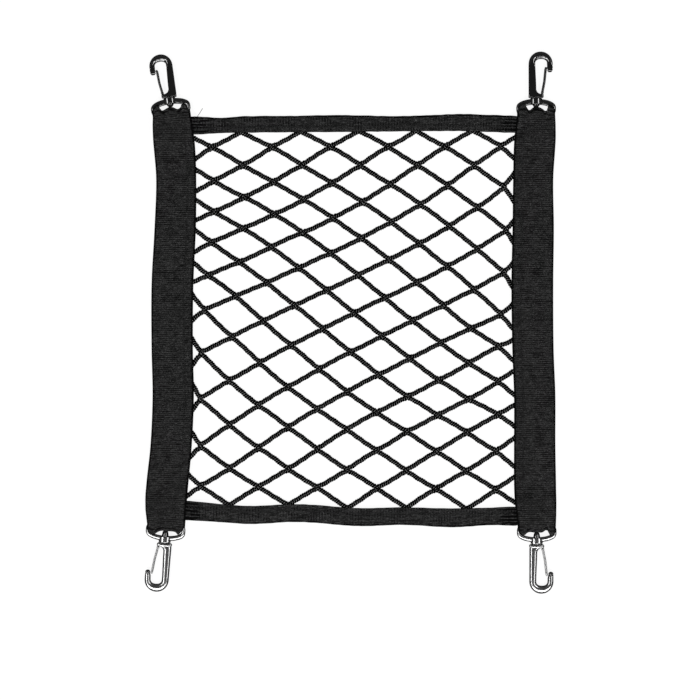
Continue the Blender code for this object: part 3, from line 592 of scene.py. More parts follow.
def strip_section(height):
    """Round a folded tape: (distance in from its open edge, height, crown, face side)."""
    half, side = STRIP_HALF_DEPTH, STRIP_HALF_DEPTH * HEM_SHARE
    slot, fold = PRESSED_HALF_DEPTH + GAP, height - TAPE
    flat = height - HEM_FLAT
    # The third column is also a colour tone: the rib crowns on the face are painted light, and their
    # valleys and the rounded hem are painted shade.
    rows = [(flat * i / TAPE_RIBS, -half, 0.5, 0) for i in range(TAPE_RIBS)]
    rows += [(flat, -half, 0.5, 0), (height - HEM_STEEP, -side, 0.3, 0), (height, 0.0, 0.0, 0),
             (height - HEM_STEEP, side, 0.3, 0)]
    for i in range(2 * TAPE_RIBS, -1, -1):
        crown = i % 2
        rows.append((flat * i / (2 * TAPE_RIBS), half + TAPE_RIB_HEIGHT * (crown - 1), crown, 1))
    rows += [(0.0, slot, 0.0, 0), (fold - SLOT_FLAT, slot, 0.0, 0), (fold, 0.0, 0.0, 0),
             (fold - SLOT_FLAT, -slot, 0.0, 0), (0.0, -slot, 0.0, 0)]
    return rows


def strip_place(rows, x, deep, high):
    outer, inner = read(rows, "outer_y", x), read(rows, "inner_y", x)
    toward = copysign(1.0, outer)
    edge = 0.25 * lumps(x, toward * 50, size=6.0)
    middle = STRIP_HALF_DEPTH + STRIP_LIFT * under_band(x, (outer + inner) / 2)
    return Vector((x, inner + toward * deep + edge, middle + high))


def face_rise(rows, x, deep):
    """How far a strip's face stands off its plain level."""
    left, right = band_inner_edges(read(rows, "inner_y", x))
    pucker = PUCKER * max(lumps(x, deep * 2, size=14.0, seed=3.0) + 0.35, 0.0)
    rise = pucker * sin(tau * x / (3 * TAPE_STEP))
    gather = 1 - ease(min(x - left, right - x) / GATHER_LENGTH)
    return rise + GATHER * gather * (sin(tau * deep / GATHER_PITCH) - 0.6)


def build_strip(which):
    rows = STRIPS[which]
    left, right = band_inner_edges(read(rows, "inner_y", rows[0].x))
    start, end = left - STRIP_TUCK, right + STRIP_TUCK
    steps = round((end - start) / TAPE_STEP)
    rings, painted_light_and_tone, ribs = [], [], []
    for i in range(steps + 1):
        x = start + i * TAPE_STEP
        ring = []
        height = abs(read(rows, "outer_y", x) - read(rows, "inner_y", x))
        for order, (deep, high, crown, face) in enumerate(strip_section(height)):
            rise = face_rise(rows, x, deep) if face else 0.0
            ring.append(strip_place(rows, x, deep, high + rise))
            # Raised puckers and gathers are painted lighter and sunken ones darker: painted light
            # and shade on the tape's face.
            painted_light_and_tone.append(min(max(0.1 + crown + 8 * rise, 0.0), 1.4))
            ribs.append(order / 2)
        rings.append(ring)
    return add_piece("tape_" + which, loft(rings), TAPE_CLOTH, "strip_" + which,
                     marks={"crown": painted_light_and_tone, "rib": ribs})


# ---------------- webbing bands
RIB_PITCH = 1.65
RIB_HEIGHT = 0.16
BACK_RIB_HEIGHT = 0.08
RIB_ROWS = 3  # rows of points to a rib: its valley and two on its crown
FOLD_TO = 0.56  # the fold round a ring's bar reaches this share of the half width
SIDE_COLUMNS = (0.0, 0.07, 0.14, 0.21, 0.28, 0.35, 0.42, 0.49, 0.56, 0.565, 0.61, 0.66, 0.71,
                0.77, 0.83, 0.89, 0.94, 0.98, 1.0)
FOLD_STEPS = 10
EDGE_SHADE_FROM = 0.93  # beyond this share of the half width the webbing is painted dark, as shade along its edges
RIBS_END = 0.97  # and beyond this one it has no ribs
PAINTED_VALLEY_SHADE = 0.15  # how light the painted shade between its ribs is
SEAM_AT = 14.0  # straight seam and zigzag, from a band's middle line
ZIGZAG_AT = 9.4
ROOM_EASE = 14.0  # a band's front layer rises over a strip in this length
ROOM_INSIDE = 1.5  # and is up this far before the strip
ROOM_OUTSIDE = 7.0  # this far past the strip's inner edge
ROOM_RING = 4.0  # it goes on to its ring's height, in this length
EDGE_ROUND = 0.35  # how much thinner a band is along its edges
# The end of a band across its width, as (share, reach past the ring's middle): the fold in the
# middle is drawn up to the hook's stud, and the flaps at its sides lie over the ring's corners.
END_EDGES = {
    "tl": ((-1.0, 0.1), (-0.75, 3.4), (-0.62, 3.8), (-0.52, 0.0), (-0.35, 0.1), (-0.11, 1.5),
           (0.12, 1.1), (0.34, -0.8), (0.5, 0.0), (0.68, 2.9), (0.8, 1.0), (1.0, -3.4)),
    "tr": ((-1.0, -1.0), (-0.84, 3.5), (-0.6, 4.0), (-0.38, -0.6), (-0.13, 1.8), (0.14, 1.9),
           (0.33, 0.6), (0.54, -1.2), (0.65, 3.4), (0.75, 2.5), (0.94, 0.7), (1.0, -1.2)),
    "bl": ((-1.0, -0.8), (-0.88, 1.2), (-0.67, 3.4), (-0.56, 2.8), (-0.38, 0.8), (-0.18, -0.2),
           (0.1, -0.2), (0.4, -0.3), (0.58, 0.3), (0.69, 1.7), (0.8, 0.0), (1.0, -4.6)),
    "br": ((-1.0, -1.6), (-0.76, 2.1), (-0.66, 1.6), (-0.41, -0.4), (-0.13, -0.1), (0.1, -0.1),
           (0.3, -0.2), (0.52, -2.1), (0.62, -0.2), (0.72, 2.6), (0.85, 2.2), (1.0, -0.4)),
}
BACK_FLAP = -1.6  # where the back layer's flaps end, past the ring's middle


def pitch_of(fit):
    """The slope at which a hook's end rests on the surface while its barrel does too."""
    drop = BARREL_HALF_DEPTH - HOOK_HALF_DEPTH
    return asin(drop / (fit.reach - BARREL.end))


def fitting_height(fit):
    return BARREL_HALF_DEPTH + BARREL.end * sin(pitch_of(fit))


def fitting_matrix(fit):
    turn = Euler((-pitch_of(fit), 0.0, radians(fit.turn)))
    place = Vector((fit.x, fit.y, fitting_height(fit))) * MM
    return Matrix.Translation(place) @ turn.to_matrix().to_4x4()


def bar_place(fit):
    """The straight bar's distance from the ring's middle, toward the band."""
    return fit.fold + FOLD_DEEPEST - WEBBING - GAP - RING_BAR - BAR_SLACK


def ring_room(fit):
    """Height of the front layer's underside over a ring's bar."""
    bar = fitting_height(fit) - bar_place(fit) * sin(pitch_of(fit))
    return bar + RING_BAR + GAP


def beside(fit, share, reach):
    """A place at a band's end, given in the ring's own frame."""
    turn = radians(fit.turn)
    across = share * BAND_END_HALF * copysign(1.0, cos(turn))
    return Vector((fit.x + across * cos(turn) - reach * sin(turn),
                   fit.y + across * sin(turn) + reach * cos(turn)))


def band_ends(side):
    """Y of the strips' inner edges beside a band."""
    x = band_inner_edges(0.0)[side == "right"]
    return read(BOTTOM_STRIP, "inner_y", x), read(TOP_STRIP, "inner_y", x)


def band_flat(side, share, y):
    """Place on a band's plan; its ends turn with their rings."""
    bottom, top = band_ends(side)

    def straight(y):
        return Vector((read(BAND_ROWS, side + "_x", y) + share * band_half(y), y))

    flat = straight(y)
    for fit, edge, outward in ((UPPER[side], top + ROOM_OUTSIDE, 1),
                                   (LOWER[side], bottom - ROOM_OUTSIDE, -1)):
        if (y - edge) * outward > 0:
            last = fit.y - outward * RING_REACH
            t = (y - edge) / (last - edge)
            flat = straight(edge).lerp(beside(fit, share, -RING_REACH), min(t, 1.0))
    return flat


def band_room(side, y):
    """Height of the front layer's underside along a band."""
    bottom, top = band_ends(side)
    above, below = y - (top - ROOM_INSIDE - ROOM_EASE), (bottom + ROOM_INSIDE + ROOM_EASE) - y
    past = max(above, below)
    room = blend(NET_ROOM, STRIP_ROOM, past / ROOM_EASE)
    fit = UPPER[side] if above > below else LOWER[side]
    beyond = past - ROOM_EASE - ROOM_INSIDE - ROOM_OUTSIDE
    return room + (ring_room(fit) - STRIP_ROOM) * ease(beyond / ROOM_RING)


def front_relief(side, share, y):
    """Soft unevenness of a front layer: low swells, and dips along its seams."""
    x = share * NOISE_HALF
    swell = 0.35 * max(lumps(x, y, size=22.0, seed=1.0 + (side == "left")) + 0.2, 0.0)
    crease = 0.10 * lumps(x, y * 0.4, size=5.0, seed=4.0)
    inward = share if side == "left" else -share
    seam = sum(exp(-((inward * BAND_HALF - place) / 0.8) ** 2) for place in (SEAM_AT, ZIGZAG_AT))
    return max(swell + crease, -0.05) * (1 - abs(share) ** 6) - 0.16 * seam


def rib(phase, y, share, valley, edge):
    """About 1 on the crown of the webbing's ribs, and `valley` between them; 0 at the edges."""
    if abs(share) > edge:
        return 0.0
    if phase % RIB_ROWS == 0:
        return valley
    return 1 + 0.35 * lumps(share * NOISE_HALF, y, size=7.0, seed=8.0)


def thick_loop(outer, inner):
    """A closed loop of cloth with thickness; places that are None are left open."""
    points, faces, index = [], [], {}
    count = len(outer[0])

    def vertex(layer, column, row):
        key = (layer, column, row % count)
        if key not in index:
            index[key] = len(points)
            points.append((outer if layer else inner)[column][row % count])
        return index[key]

    def corners(column, row):
        return (column, row), (column + 1, row), (column + 1, row + 1), (column, row + 1)

    def present(column, row):
        return 0 <= column < len(outer) - 1 and all(
            outer[c][r % count] is not None for c, r in corners(column, row))

    for column in range(len(outer) - 1):
        for row in range(count):
            if not present(column, row):
                continue
            cell = corners(column, row)
            faces.append(tuple(vertex(1, *place) for place in cell))
            faces.append(tuple(vertex(0, *place) for place in reversed(cell)))
            beyond = ((column, row - 1), (column + 1, row), (column, row + 1), (column - 1, row))
            for i, neighbour in enumerate(beyond):
                if not present(*neighbour):
                    a, b = cell[i], cell[(i + 1) % 4]
                    faces.append((vertex(1, *b), vertex(1, *a), vertex(0, *a), vertex(0, *b)))
    return points, faces


def build_band(side):
    """One loop of webbing: back layer, fold, front layer, fold."""
    lower, upper = LOWER[side], UPPER[side]
    shares = [-s for s in reversed(SIDE_COLUMNS[1:])] + list(SIDE_COLUMNS)
    first, last = lower.y + RING_REACH, upper.y - RING_REACH
    rows = round((last - first) / RIB_PITCH) * RIB_ROWS
    end_rows = 2 * RIB_ROWS
    marks = {}

    def sheet_column(share):
        """Rows of (outer place, inner place, phase) round the loop at a share of its width."""
        thin = EDGE_ROUND * max((abs(share) - 0.9) / 0.1, 0.0) ** 2

        def height_of(phase, y):
            return rib(phase, y, share, 0.0, RIBS_END)

        def row_of(flat, phase, room, relief=0.0, tip=0.0):
            """A row of the back layer, or of the front layer where it has room beneath it."""
            crown = height_of(phase, flat.y)
            if room is None:
                high, low = BACK_RIB_HEIGHT * (1 - crown) + thin, WEBBING - thin * 0.5
            else:
                high = room + WEBBING + relief + RIB_HEIGHT * (crown - 1) - thin - tip
                low = room + relief + thin * 0.5
            return Vector((*flat, high)), Vector((*flat, low)), phase

        def flat_row(i, front):
            """A row along the band, with its rib slightly wavy across the band."""
            y = first + (last - first) * i / rows
            fade = min(i, rows - i, 20) / 20
            y += 0.22 * fade * lumps(share * NOISE_HALF, y, size=12.0, seed=6.0)
            if not front:
                return row_of(band_flat(side, share, y), i, None)
            return row_of(band_flat(side, share, y), i, band_room(side, y),
                          front_relief(side, share, y))

        def end_rows_to(fit, room, reach, phase):
            step = (reach + RING_REACH) / end_rows
            return [row_of(beside(fit, share, -RING_REACH + step * i), phase + i, room,
                           tip=EDGE_ROUND * (i == end_rows)) for i in range(1, end_rows + 1)]

        def fold(fit, phase):
            """From the back layer's last row to the front layer's first."""
            room = ring_room(fit)
            radius = (room + WEBBING) / 2
            folded = abs(share) <= FOLD_TO
            end = smooth(*zip(*END_EDGES[fit.key]), share)
            centre = end - radius

            def round_bar(out, angle):
                return Vector((*beside(fit, share, centre + out * cos(angle)),
                               radius + out * sin(angle)))

            found = end_rows_to(fit, None, centre if folded else BACK_FLAP, phase)
            for i in range(1, FOLD_STEPS):
                angle = pi * (i / FOLD_STEPS - 0.5)
                bulge = radius + 0.1 * (height_of(i, i) - 1)
                found.append((round_bar(bulge, angle), round_bar(radius - WEBBING, angle), i)
                             if folded else (None, None, None))
            return found + end_rows_to(fit, room, centre if folded else end, phase)[::-1]

        found = [flat_row(i, False) for i in range(rows + 1)] + fold(upper, rows)
        found += [flat_row(i, True) for i in range(rows, -1, -1)] + fold(lower, 0)[::-1]
        for place, _, phase in found:
            if place:
                # The colour tone: painted light on the rib crowns, painted shade in the valleys and
                # along the edges.
                tone = rib(phase, place.y, share, PAINTED_VALLEY_SHADE, EDGE_SHADE_FROM)
                marks[id(place)] = (phase / RIB_ROWS, tone)
        return found

    columns = [sheet_column(share) for share in shares]
    outer, inner = ([[row[layer] for row in column] for column in columns] for layer in (0, 1))
    points, faces = thick_loop(outer, inner)
    ribs, painted_light_and_tone = zip(*[marks.get(id(point), (0.0, 0.0)) for point in points])
    return add_piece("webbing_" + side, (points, faces), WEBBING_CLOTH, "band_" + side,
                     marks={"rib": ribs, "crown": painted_light_and_tone})


# ---------------- stitching
THREAD_RADIUS = 0.24
STITCH = 3.0
ZIGZAG_PITCH = 1.5
ZIGZAG_HALF = 1.1
SEAM_END = 3.0  # a band's seams end this far before its strips
STRIP_ZIGZAG_AT = 4.2
STRIP_ZIGZAG_HALF = 1.5
STRIP_ZIGZAG_PITCH = 1.2
# Bar tacks, where a band's front layer is sewn down near its rings.
Tack = namedtuple("Tack", "y from_share to_share")
TACK_ROWS = (-3.6, 0.0, 3.6)
TACK_PITCH = 1.15
TACK_HALF = 1.9
TACK_UNEVEN = 0.4
TACKS = {
    "left": (Tack(153.4, -0.86, 0.50), Tack(-145.6, -0.74, 0.62)),
    "right": (Tack(153.0, -0.55, 0.86), Tack(-147.6, -0.45, 0.92)),
}


def front_point(side, share, y):
    top = band_room(side, y) + WEBBING + front_relief(side, share, y)
    return Vector((*band_flat(side, share, y), top - RIB_HEIGHT * 0.5))


def stitch(start, end):
    """One stitch lying on the cloth, with its ends sunk into it."""
    sink = Vector((0, 0, THREAD_RADIUS * 2.2))
    lift = Vector((0, 0, THREAD_RADIUS * 0.5))
    inner = [start.lerp(end, t) + lift for t in (0.2, 0.5, 0.8)]
    return tube([start - sink, *inner, end - sink], THREAD_RADIUS, 5)


def zigzag(place, count):
    """Stitches between the places that `place` gives for -1 and 1 in turn."""
    corners = [place(i, 1 if i % 2 else -1) for i in range(count + 1)]
    return [stitch(a, b) for a, b in zip(corners, corners[1:])]


def build_band_seams(side):
    bottom, top = band_ends(side)
    inward = 1 if side == "left" else -1
    length = top - bottom - 2 * SEAM_END

    def sewn(inset, y):
        return front_point(side, inward * inset / BAND_HALF, bottom + SEAM_END + y)

    parts = [stitch(sewn(SEAM_AT, i * STITCH + 0.3), sewn(SEAM_AT, (i + 1) * STITCH - 0.3))
             for i in range(int(length / STITCH))]
    parts += zigzag(lambda i, way: sewn(ZIGZAG_AT + way * ZIGZAG_HALF, i * ZIGZAG_PITCH),
                    int(length / ZIGZAG_PITCH))
    for tack in TACKS[side]:
        width = tack.to_share - tack.from_share
        count = int(width * BAND_HALF / TACK_PITCH)
        for order, row in enumerate(TACK_ROWS):
            parts += zigzag(lambda i, way: front_point(
                side, tack.from_share + width * i / count,
                tack.y + row + way * TACK_HALF + TACK_UNEVEN * sin(i * 1.7 + order)), count)
    return add_piece("stitching_" + side, join(parts), THREAD)


def build_strip_seam(which):
    rows = STRIPS[which]
    left, right = band_inner_edges(read(rows, "inner_y", rows[0].x))
    count = int((right - left - 2) / STRIP_ZIGZAG_PITCH)

    def place(i, way):
        x = left + 1 + i * STRIP_ZIGZAG_PITCH
        deep = STRIP_ZIGZAG_AT + way * STRIP_ZIGZAG_HALF
        return strip_place(rows, x, deep, STRIP_HALF_DEPTH + face_rise(rows, x, deep) - 0.04)

    parts = zigzag(place, count)
    if which == "top":
        parts.append(loose_thread())
    return add_piece("stitching_" + which, join(parts), THREAD)


def loose_thread():
    """The uncut end of a sewing thread that stands out past the top strip."""
    line = ((-122.8, 163.2, 3.2), (-122.2, 164.6, 3.7), (-121.0, 166.6, 3.0),
            (-119.9, 168.6, 1.6), (-119.2, 170.2, 0.7), (-118.4, 171.2, 0.4))
    return tube([Vector(place) for place in line], 0.2)


# ---------------- rings
def angles_round(sides):
    return [tau * (i + 0.5) / sides for i in range(sides)]


def turned(profile, sides, wide=1.0, deep=1.0):
    """A solid turned about the Y axis from (radius, y) rows, stretched in X and Z."""
    return loft([[Vector((radius * cos(a) * wide, y, radius * sin(a) * deep))
                  for a in angles_round(sides)] for radius, y in profile])


def section(centre, across, half_width, half_depth, sides, corner=0.0, flat=0.0):
    """A round section in the plane of `across` and +Z, squarer as corner grows.

    It is flattened along one side, where flat is the share of its half depth that is lost at
    that side's edge: beyond the centre where flat is positive, and inside it where negative.
    """
    ring = []
    for angle in angles_round(sides):
        c, s = cos(angle), sin(angle)
        pull = 1 + corner * (abs(c * s) * 2)
        most = half_depth * (1 - max(flat * c, 0.0))
        high = max(min(half_depth * s * pull, most), -most)
        wide = half_width * max(min(c * pull, 1.0), -1.0)
        ring.append(centre + across * wide + Vector((0, 0, high)))
    return ring


def flat_of(fit, across):
    """How far a bow or bend is flattened, on the side that looks toward the net's lower end."""
    facing = -across.y * copysign(1.0, cos(radians(fit.turn)))
    return copysign(FLAT_MOST[fit.finish] * ease((abs(facing) - 0.3) / 0.4), facing)


def rounded(start, end, radius, round_off, steps=4):
    """(radius, y) rows of a bar with rounded ends."""
    arc = [(radius - round_off * (1 - sin(a)), round_off * (1 - cos(a)))
           for a in (pi / 2 * i / steps for i in range(steps + 1))]
    straight = end - start - 2 * round_off
    rows = [(r, start + y) for r, y in arc]
    rows += [(radius, start + round_off + straight * i / 8) for i in range(1, 8)]
    return rows + [(r, end - y) for r, y in reversed(arc)]


def solid(points, faces):
    """A scratch object for a boolean, in millimetres."""
    mesh = bpy.data.meshes.new("scratch")
    mesh.from_pydata(points, [], faces)
    work = bmesh.new()
    work.from_mesh(mesh)
    bmesh.ops.recalc_face_normals(work, faces=work.faces)
    work.to_mesh(mesh)
    work.free()
    return in_scene("scratch", mesh)


def combined(body, *changes):
    """Points and faces of a body after unions and cuts, each given as (operation, body)."""
    base = solid(*body)
    helpers = []
    for operation, helper in changes:
        helpers.append(solid(*helper))
        modifier = base.modifiers.new("change", "BOOLEAN")
        modifier.operation = operation
        modifier.object = helpers[-1]
    made = base.evaluated_get(bpy.context.evaluated_depsgraph_get()).to_mesh()
    points = [vertex.co.copy() for vertex in made.vertices]
    faces = [tuple(face.vertices) for face in made.polygons]
    for thing in (base, *helpers):
        bpy.data.objects.remove(thing)
    return points, faces


BOW_STEPS = 48
# The bow's height, how round its shoulders are, and half the wire's width along it.
RingShape = namedtuple("RingShape", "rise square thick")
RING_SHAPES = {"black": RingShape(6.0, 0.9, 2.35), "grey": RingShape(5.5, 0.92, 2.0)}


def ring_line(fit):
    """Centre line of a ring, the way across it and half its width, from the right side."""
    bar = bar_place(fit)
    shape = RING_SHAPES[fit.finish]
    bow = []
    for i in range(BOW_STEPS + 1):
        angle = pi * i / BOW_STEPS
        c, s = cos(angle), sin(angle)
        bow.append(plan(RING_HALF * copysign(abs(c) ** shape.square, c),
                        shape.rise * max(s, 0.0) ** shape.square))
    line = []
    for i, place in enumerate(bow):
        along = heading(bow, i)
        if i in (0, BOW_STEPS):
            along = plan(0.0, 1.0 if i == 0 else -1.0)
        line.append((place, plan(along.y, -along.x), blend(RING_BAR, shape.thick, place.y / 3)))
    for side, first in ((-1, pi), (1, -pi / 2)):
        for i in range(9):
            angle = first + pi / 2 * i / 8
            across = plan(cos(angle), sin(angle))
            centre = plan(side * (RING_HALF - RING_CORNER), bar + RING_CORNER)
            line.append((centre + across * RING_CORNER, across, RING_BAR))
    return line


def add_part(fit, name, node, body, looks, sharp, rides=ROOT):
    """A ring, hook or leaf as a piece, placed at its corner."""
    return add_piece(name + fit.key, body, looks[fit.finish], node + fit.key,
                     rides, fitting_matrix(fit), sharp=sharp)


def build_ring(fit):
    rings = [section(place, across, half, RING_BAR, 28, flat=flat_of(fit, across))
             for place, across, half in ring_line(fit)]
    profile = rounded(*BARREL, BARREL_HALF_DEPTH, 0.6)
    barrel = turned([(radius / BARREL_HALF_DEPTH, y) for radius, y in profile], 48,
                    BARREL_HALF_WIDTH, BARREL_HALF_DEPTH)
    bore = turned([(BORE, BARREL.start - 4), (BORE, BARREL.end + 4)], 32)
    body = combined(loft(rings, closed=True), ("UNION", barrel), ("DIFFERENCE", bore))
    add_part(fit, "cast_ring_", "ring_", body, METALS, 40)


# ---------------- hooks and leaves
BEND_STEPS = 32
NOSE_KNOB = 2.4  # length of the ball at the nose's end
FLARE_HEIGHT = 3.4  # the spine's waist is this far above the collar
# The spine widens into the collar: height above the collar, width, and how far its back is in.
FOOT_FLARE = ((-2.0, 7.0, 1.2), (-1.2, 8.4, 0.5), (-0.2, 9.0, 0.1), (0.3, 8.0, 0.0), (0.8, 7.1, 0.0),
              (1.5, 6.4, 0.0), (2.4, 6.0, 0.0))
# How the four hooks differ: the bend's outer radius and the spine's back edge, more width and
# nose length, how square the spine is, the leaf's half thickness, how far its tip stays back,
# and where the stud ends.
Shape = namedtuple("Shape", "outer back wider nose_more square leaf_half leaf_back stud_tip")
SHAPES = {
    "tl": Shape(9.15, -6.0, -0.1, 0.0, 0.4, 0.95, 0.2, 1.3),
    "tr": Shape(9.5, -5.8, 0.1, 0.4, 0.4, 1.0, 0.2, 1.4),
    "bl": Shape(9.6, -5.8, 0.5, 0.9, 0.06, 0.85, 1.8, -0.7),
    "br": Shape(9.6, -5.8, 0.5, 1.3, 0.06, 0.9, 1.8, -0.4),
}


def hook_line(fit):
    """Centre line of a hook's body, the way across it, its width and depth shares."""
    shape = SHAPES[fit.key]
    middle = plan(shape.back + shape.outer, fit.reach - shape.outer)
    foot = BARREL.end + GAP + COLLAR_HEIGHT
    back, front = plan(-1.0, 0.0), plan(1.0, 0.0)
    more = shape.wider
    line = []

    def put(edge, across, width, depth=1.0):
        width += more
        line.append((edge - across * (width / 2), across, width, depth))

    for high, width, inset in FOOT_FLARE:
        put(plan(shape.back + inset, foot + high), back, width)
    waist = foot + FLARE_HEIGHT
    for i in range(9):
        t = i / 8
        place = plan(shape.back, waist + (middle.y - waist) * t)
        put(place, back, blend(SPINE_WAIST_WIDTH, SPINE_TOP_WIDTH, t))
    for i in range(1, BEND_STEPS + 1):
        share = i / BEND_STEPS
        angle = pi * (1 - share)
        across = plan(cos(angle), sin(angle))
        if share < 0.5:
            width = blend(SPINE_TOP_WIDTH, BEND_WIDTH, share * 2)
        else:
            width = blend(BEND_WIDTH, NOSE_WIDTH, share * 2 - 1)
        put(middle + across * shape.outer, across, width)
    # The nose, a short neck without the added width, and its rounded end.
    nose = middle + front * shape.outer
    knob = NOSE_LENGTH + shape.nose_more - NOSE_KNOB
    put(nose + plan(0.0, -knob * 0.5), front, (NOSE_WIDTH + NOSE_END_WIDTH) / 2)
    more = 0.0
    put(nose + plan(0.0, 0.5 - knob), front, NOSE_END_WIDTH + 0.1)
    put(nose + plan(-0.35, -knob), front, NOSE_END_WIDTH - 0.7, 0.84)
    for i in range(7):
        angle = pi / 2 * i / 6
        width = NOSE_END_WIDTH * max(cos(angle) ** 0.8, 0.12)
        place = -knob - 0.4 - (NOSE_KNOB - 0.4) * sin(angle)
        put(nose + plan((width - NOSE_END_WIDTH) / 2, place), front, width, 0.3 + 0.65 * cos(angle))
    return line


def mirrored(points, side):
    return [Vector((p.x * side, p.y, p.z)) for p in points]


def rounded_block(half, centre, round_off):
    """Points and faces of a block with rounded edges."""
    block = bmesh.new()
    bmesh.ops.create_cube(block, size=2.0)
    for vertex in block.verts:
        vertex.co = Vector(a * b for a, b in zip(vertex.co, half))
    bmesh.ops.bevel(block, geom=block.edges[:], offset=round_off, segments=4, profile=0.5,
                    affect="EDGES")
    block.verts.index_update()
    points = [vertex.co + centre for vertex in block.verts]
    faces = [tuple(vertex.index for vertex in face.verts) for face in block.faces]
    block.free()
    return points, faces


def build_hook(fit):
    shape = SHAPES[fit.key]
    bend_from = fit.reach - shape.outer
    rings = []
    for place, across, width, depth in hook_line(fit):
        corner = shape.square * (1 - ease((place.y - bend_from + 3) / 6))
        rings.append(section(place, across, width / 2, HOOK_HALF_DEPTH * depth, 28, corner,
                             flat_of(fit, across)))
    points, faces = loft(rings)
    start = BARREL.end + GAP
    half = Vector((COLLAR_HALF_WIDTH, COLLAR_HEIGHT / 2, COLLAR_HALF_DEPTH))
    collar = rounded_block(half, plan(0.0, start + half.y), COLLAR_ROUND[fit.finish])
    for point in collar[0]:
        point.z *= 1 - COLLAR_DOME * (point.x / COLLAR_HALF_WIDTH) ** 2
    head, tip = BARREL.start - GAP, shape.stud_tip
    profile = [(radius, tip + y) for radius, y in STUD_TIP]
    profile += [(STUD_HEAD, head - 0.6), (STUD_HEAD, head), (STUD, head), (STUD, start + 1.5)]
    stud = turned(profile, 32)
    body = combined((mirrored(points, fit.side), faces), ("UNION", collar), ("UNION", stud))
    hook = add_part(fit, "cast_hook_", "hook_", body, METALS, 35, "swivel_" + fit.key)
    # The stud's head is black on every hook, and the nose's end is painted black there too, as a
    # dark reflection.
    hook.data.materials.append(METALS["black"])
    knob_end = bend_from - NOSE_LENGTH - shape.nose_more + NOSE_KNOB - 0.3
    inverse = fitting_matrix(fit).inverted()
    for face in hook.data.polygons:
        place = inverse @ face.center / MM
        at_nose = place.x * fit.side > shape.outer - 1 and place.y < knob_end
        if at_nose or place.y < head + 0.05:
            face.material_index = 1


def build_gate(fit):
    shape = SHAPES[fit.key]
    nose_end = fit.reach - shape.outer - NOSE_LENGTH
    tip_u = shape.back + 2 * shape.outer - NOSE_END_WIDTH - shape.leaf_half - LEAF_SLACK
    tip = plan(tip_u, nose_end + GATE_LAP - shape.leaf_back)
    knee = tip - plan(GATE_TURN, GATE_KNEE)
    middle = (GATE_ROOT + knee) / 2 + plan(GATE_BOW, 0.0)
    foot = GATE_ROOT - plan(0.0, GATE_FOOT)
    knots = [foot, GATE_ROOT, GATE_ROOT.lerp(middle, 0.5), middle, knee, tip]
    heights = [place.y for place in knots]
    places = [plan(smooth(heights, [p.x for p in knots], y), y)
              for y in (foot.y + (tip.y - foot.y) * (i / LEAF_STEPS) ** 1.6
                        for i in range(LEAF_STEPS + 1))]
    rings = []
    for i, place in enumerate(places):
        along = heading(places, i)
        eye = sqrt(max(GATE_EYE ** 2 - (place - GATE_ROOT).length ** 2, 0.05))
        half = eye if place.y < GATE_ROOT.y else max(shape.leaf_half, eye)
        thin = 0.8 if i in (0, LEAF_STEPS) else 1.0
        rings.append(section(place, plan(along.y, -along.x), half * thin, GATE_HALF_DEPTH * thin,
                             12, corner=0.2))
    points, faces = loft(rings)
    if fit.side < 0:
        faces = [face[::-1] for face in faces]
    add_part(fit, "spring_leaf_", "gate_", (mirrored(points, fit.side), faces), LEAVES, 50,
             "leaf_" + fit.key)


# ---------------- stage
FLOOR_HALF_M = 4.0
FLOOR_DROP_M = 0.00005
FLOOR_GLOW = 0.9
DARK_WORLD = 0.02
RING_WORLD = 0.12
VIEW_WIDTH_M = 0.560  # width of the floor that the photograph shows
VIEW_CENTRE_M = (-0.00056, -0.02192)
LENS = 100.0
SENSOR = 36.0


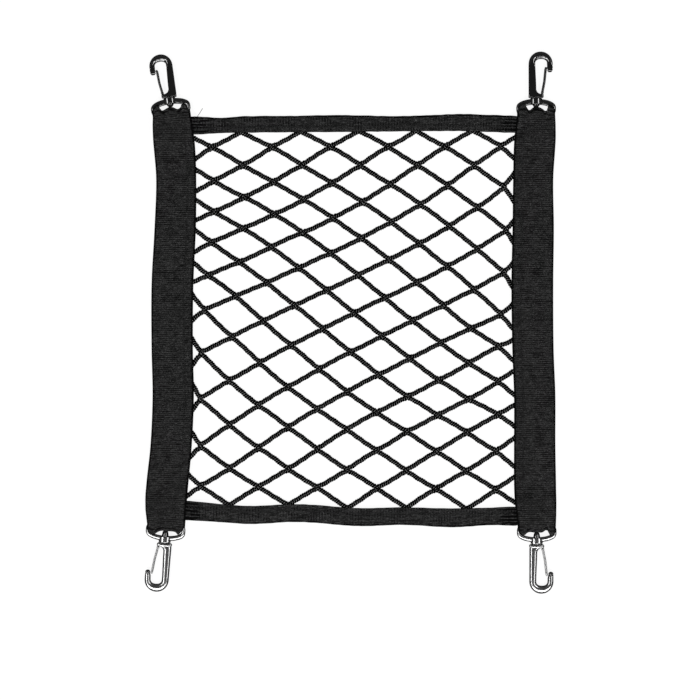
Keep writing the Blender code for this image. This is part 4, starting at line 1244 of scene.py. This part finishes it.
def build_stage():
    mesh = bpy.data.meshes.new("floor")
    h = FLOOR_HALF_M
    mesh.from_pydata([(-h, -h, 0), (h, -h, 0), (h, h, 0), (-h, h, 0)], [], [(0, 1, 2, 3)])
    material, tree, shader = new_material("plain_floor", 0.9, specular=0.0)
    shader.inputs["Base Color"].default_value = (0.1, 0.1, 0.1, 1)
    shader.inputs["Emission Color"].default_value = (1, 1, 1, 1)
    shader.inputs["Emission Strength"].default_value = FLOOR_GLOW
    mesh.materials.append(material)
    floor = in_scene("floor", mesh)
    floor.location.z = -FLOOR_DROP_M
    floor.visible_diffuse = False
    floor.visible_glossy = False


def add_softbox(name, place, size, watts):
    light = bpy.data.lights.new(name, "AREA")
    light.shape = "RECTANGLE"
    light.size, light.size_y = size
    light.energy = watts
    lamp = in_scene(name, light)
    lamp.location = place
    lamp.rotation_euler = (-Vector(place)).to_track_quat("-Z", "Y").to_euler()


def build_light():
    """A world that is dark overhead and low down with a pale ring between, and three softboxes."""
    world = bpy.data.worlds.new("soft_studio")
    world.use_nodes = True
    tree = world.node_tree
    where = add_node(tree, "TexCoord")
    height = add_node(tree, "SeparateXYZ", {0: where.outputs["Generated"]}).outputs["Z"]
    colours = add_node(tree, "ValToRGB", {0: height})
    stops = colours.color_ramp.elements
    stops[1].position = 0.96
    for stop in stops:
        stop.color = (*[DARK_WORLD] * 3, 1)
    for place in (0.12, 0.86):
        stops.new(place).color = (*[RING_WORLD] * 3, 1)
    tree.links.new(colours.outputs[0], tree.nodes["Background"].inputs["Color"])
    bpy.context.scene.world = world
    add_softbox("softbox_right", (1.92, 0.2, 2.56), (2.6, 0.52), 48)
    add_softbox("softbox_left", (-1.92, -0.2, 2.56), (2.6, 0.52), 56)
    add_softbox("softbox_front", (0.0, -2.0, 2.4), (4.8, 0.6), 100)
    bpy.context.scene.view_settings.view_transform = "Standard"


def build_camera():
    data = bpy.data.cameras.new("camera")
    data.lens, data.sensor_width = LENS, SENSOR
    camera = in_scene("camera", data)
    camera.location = (*VIEW_CENTRE_M, VIEW_WIDTH_M * LENS / SENSOR)
    bpy.context.scene.camera = camera


# ---------------- the whole net
def main():
    build_camera()
    net = build_net()
    strips = {place: build_strip(place) for place in STRIPS}
    seams = {place: build_strip_seam(place) for place in STRIPS}
    bands = {side: build_band(side) for side in ("left", "right")}
    for side, band in bands.items():
        build_band_seams(side)
    for fit in FITTINGS.values():
        build_ring(fit)
        build_hook(fit)
        build_gate(fit)
    build_stage()
    build_light()


main()
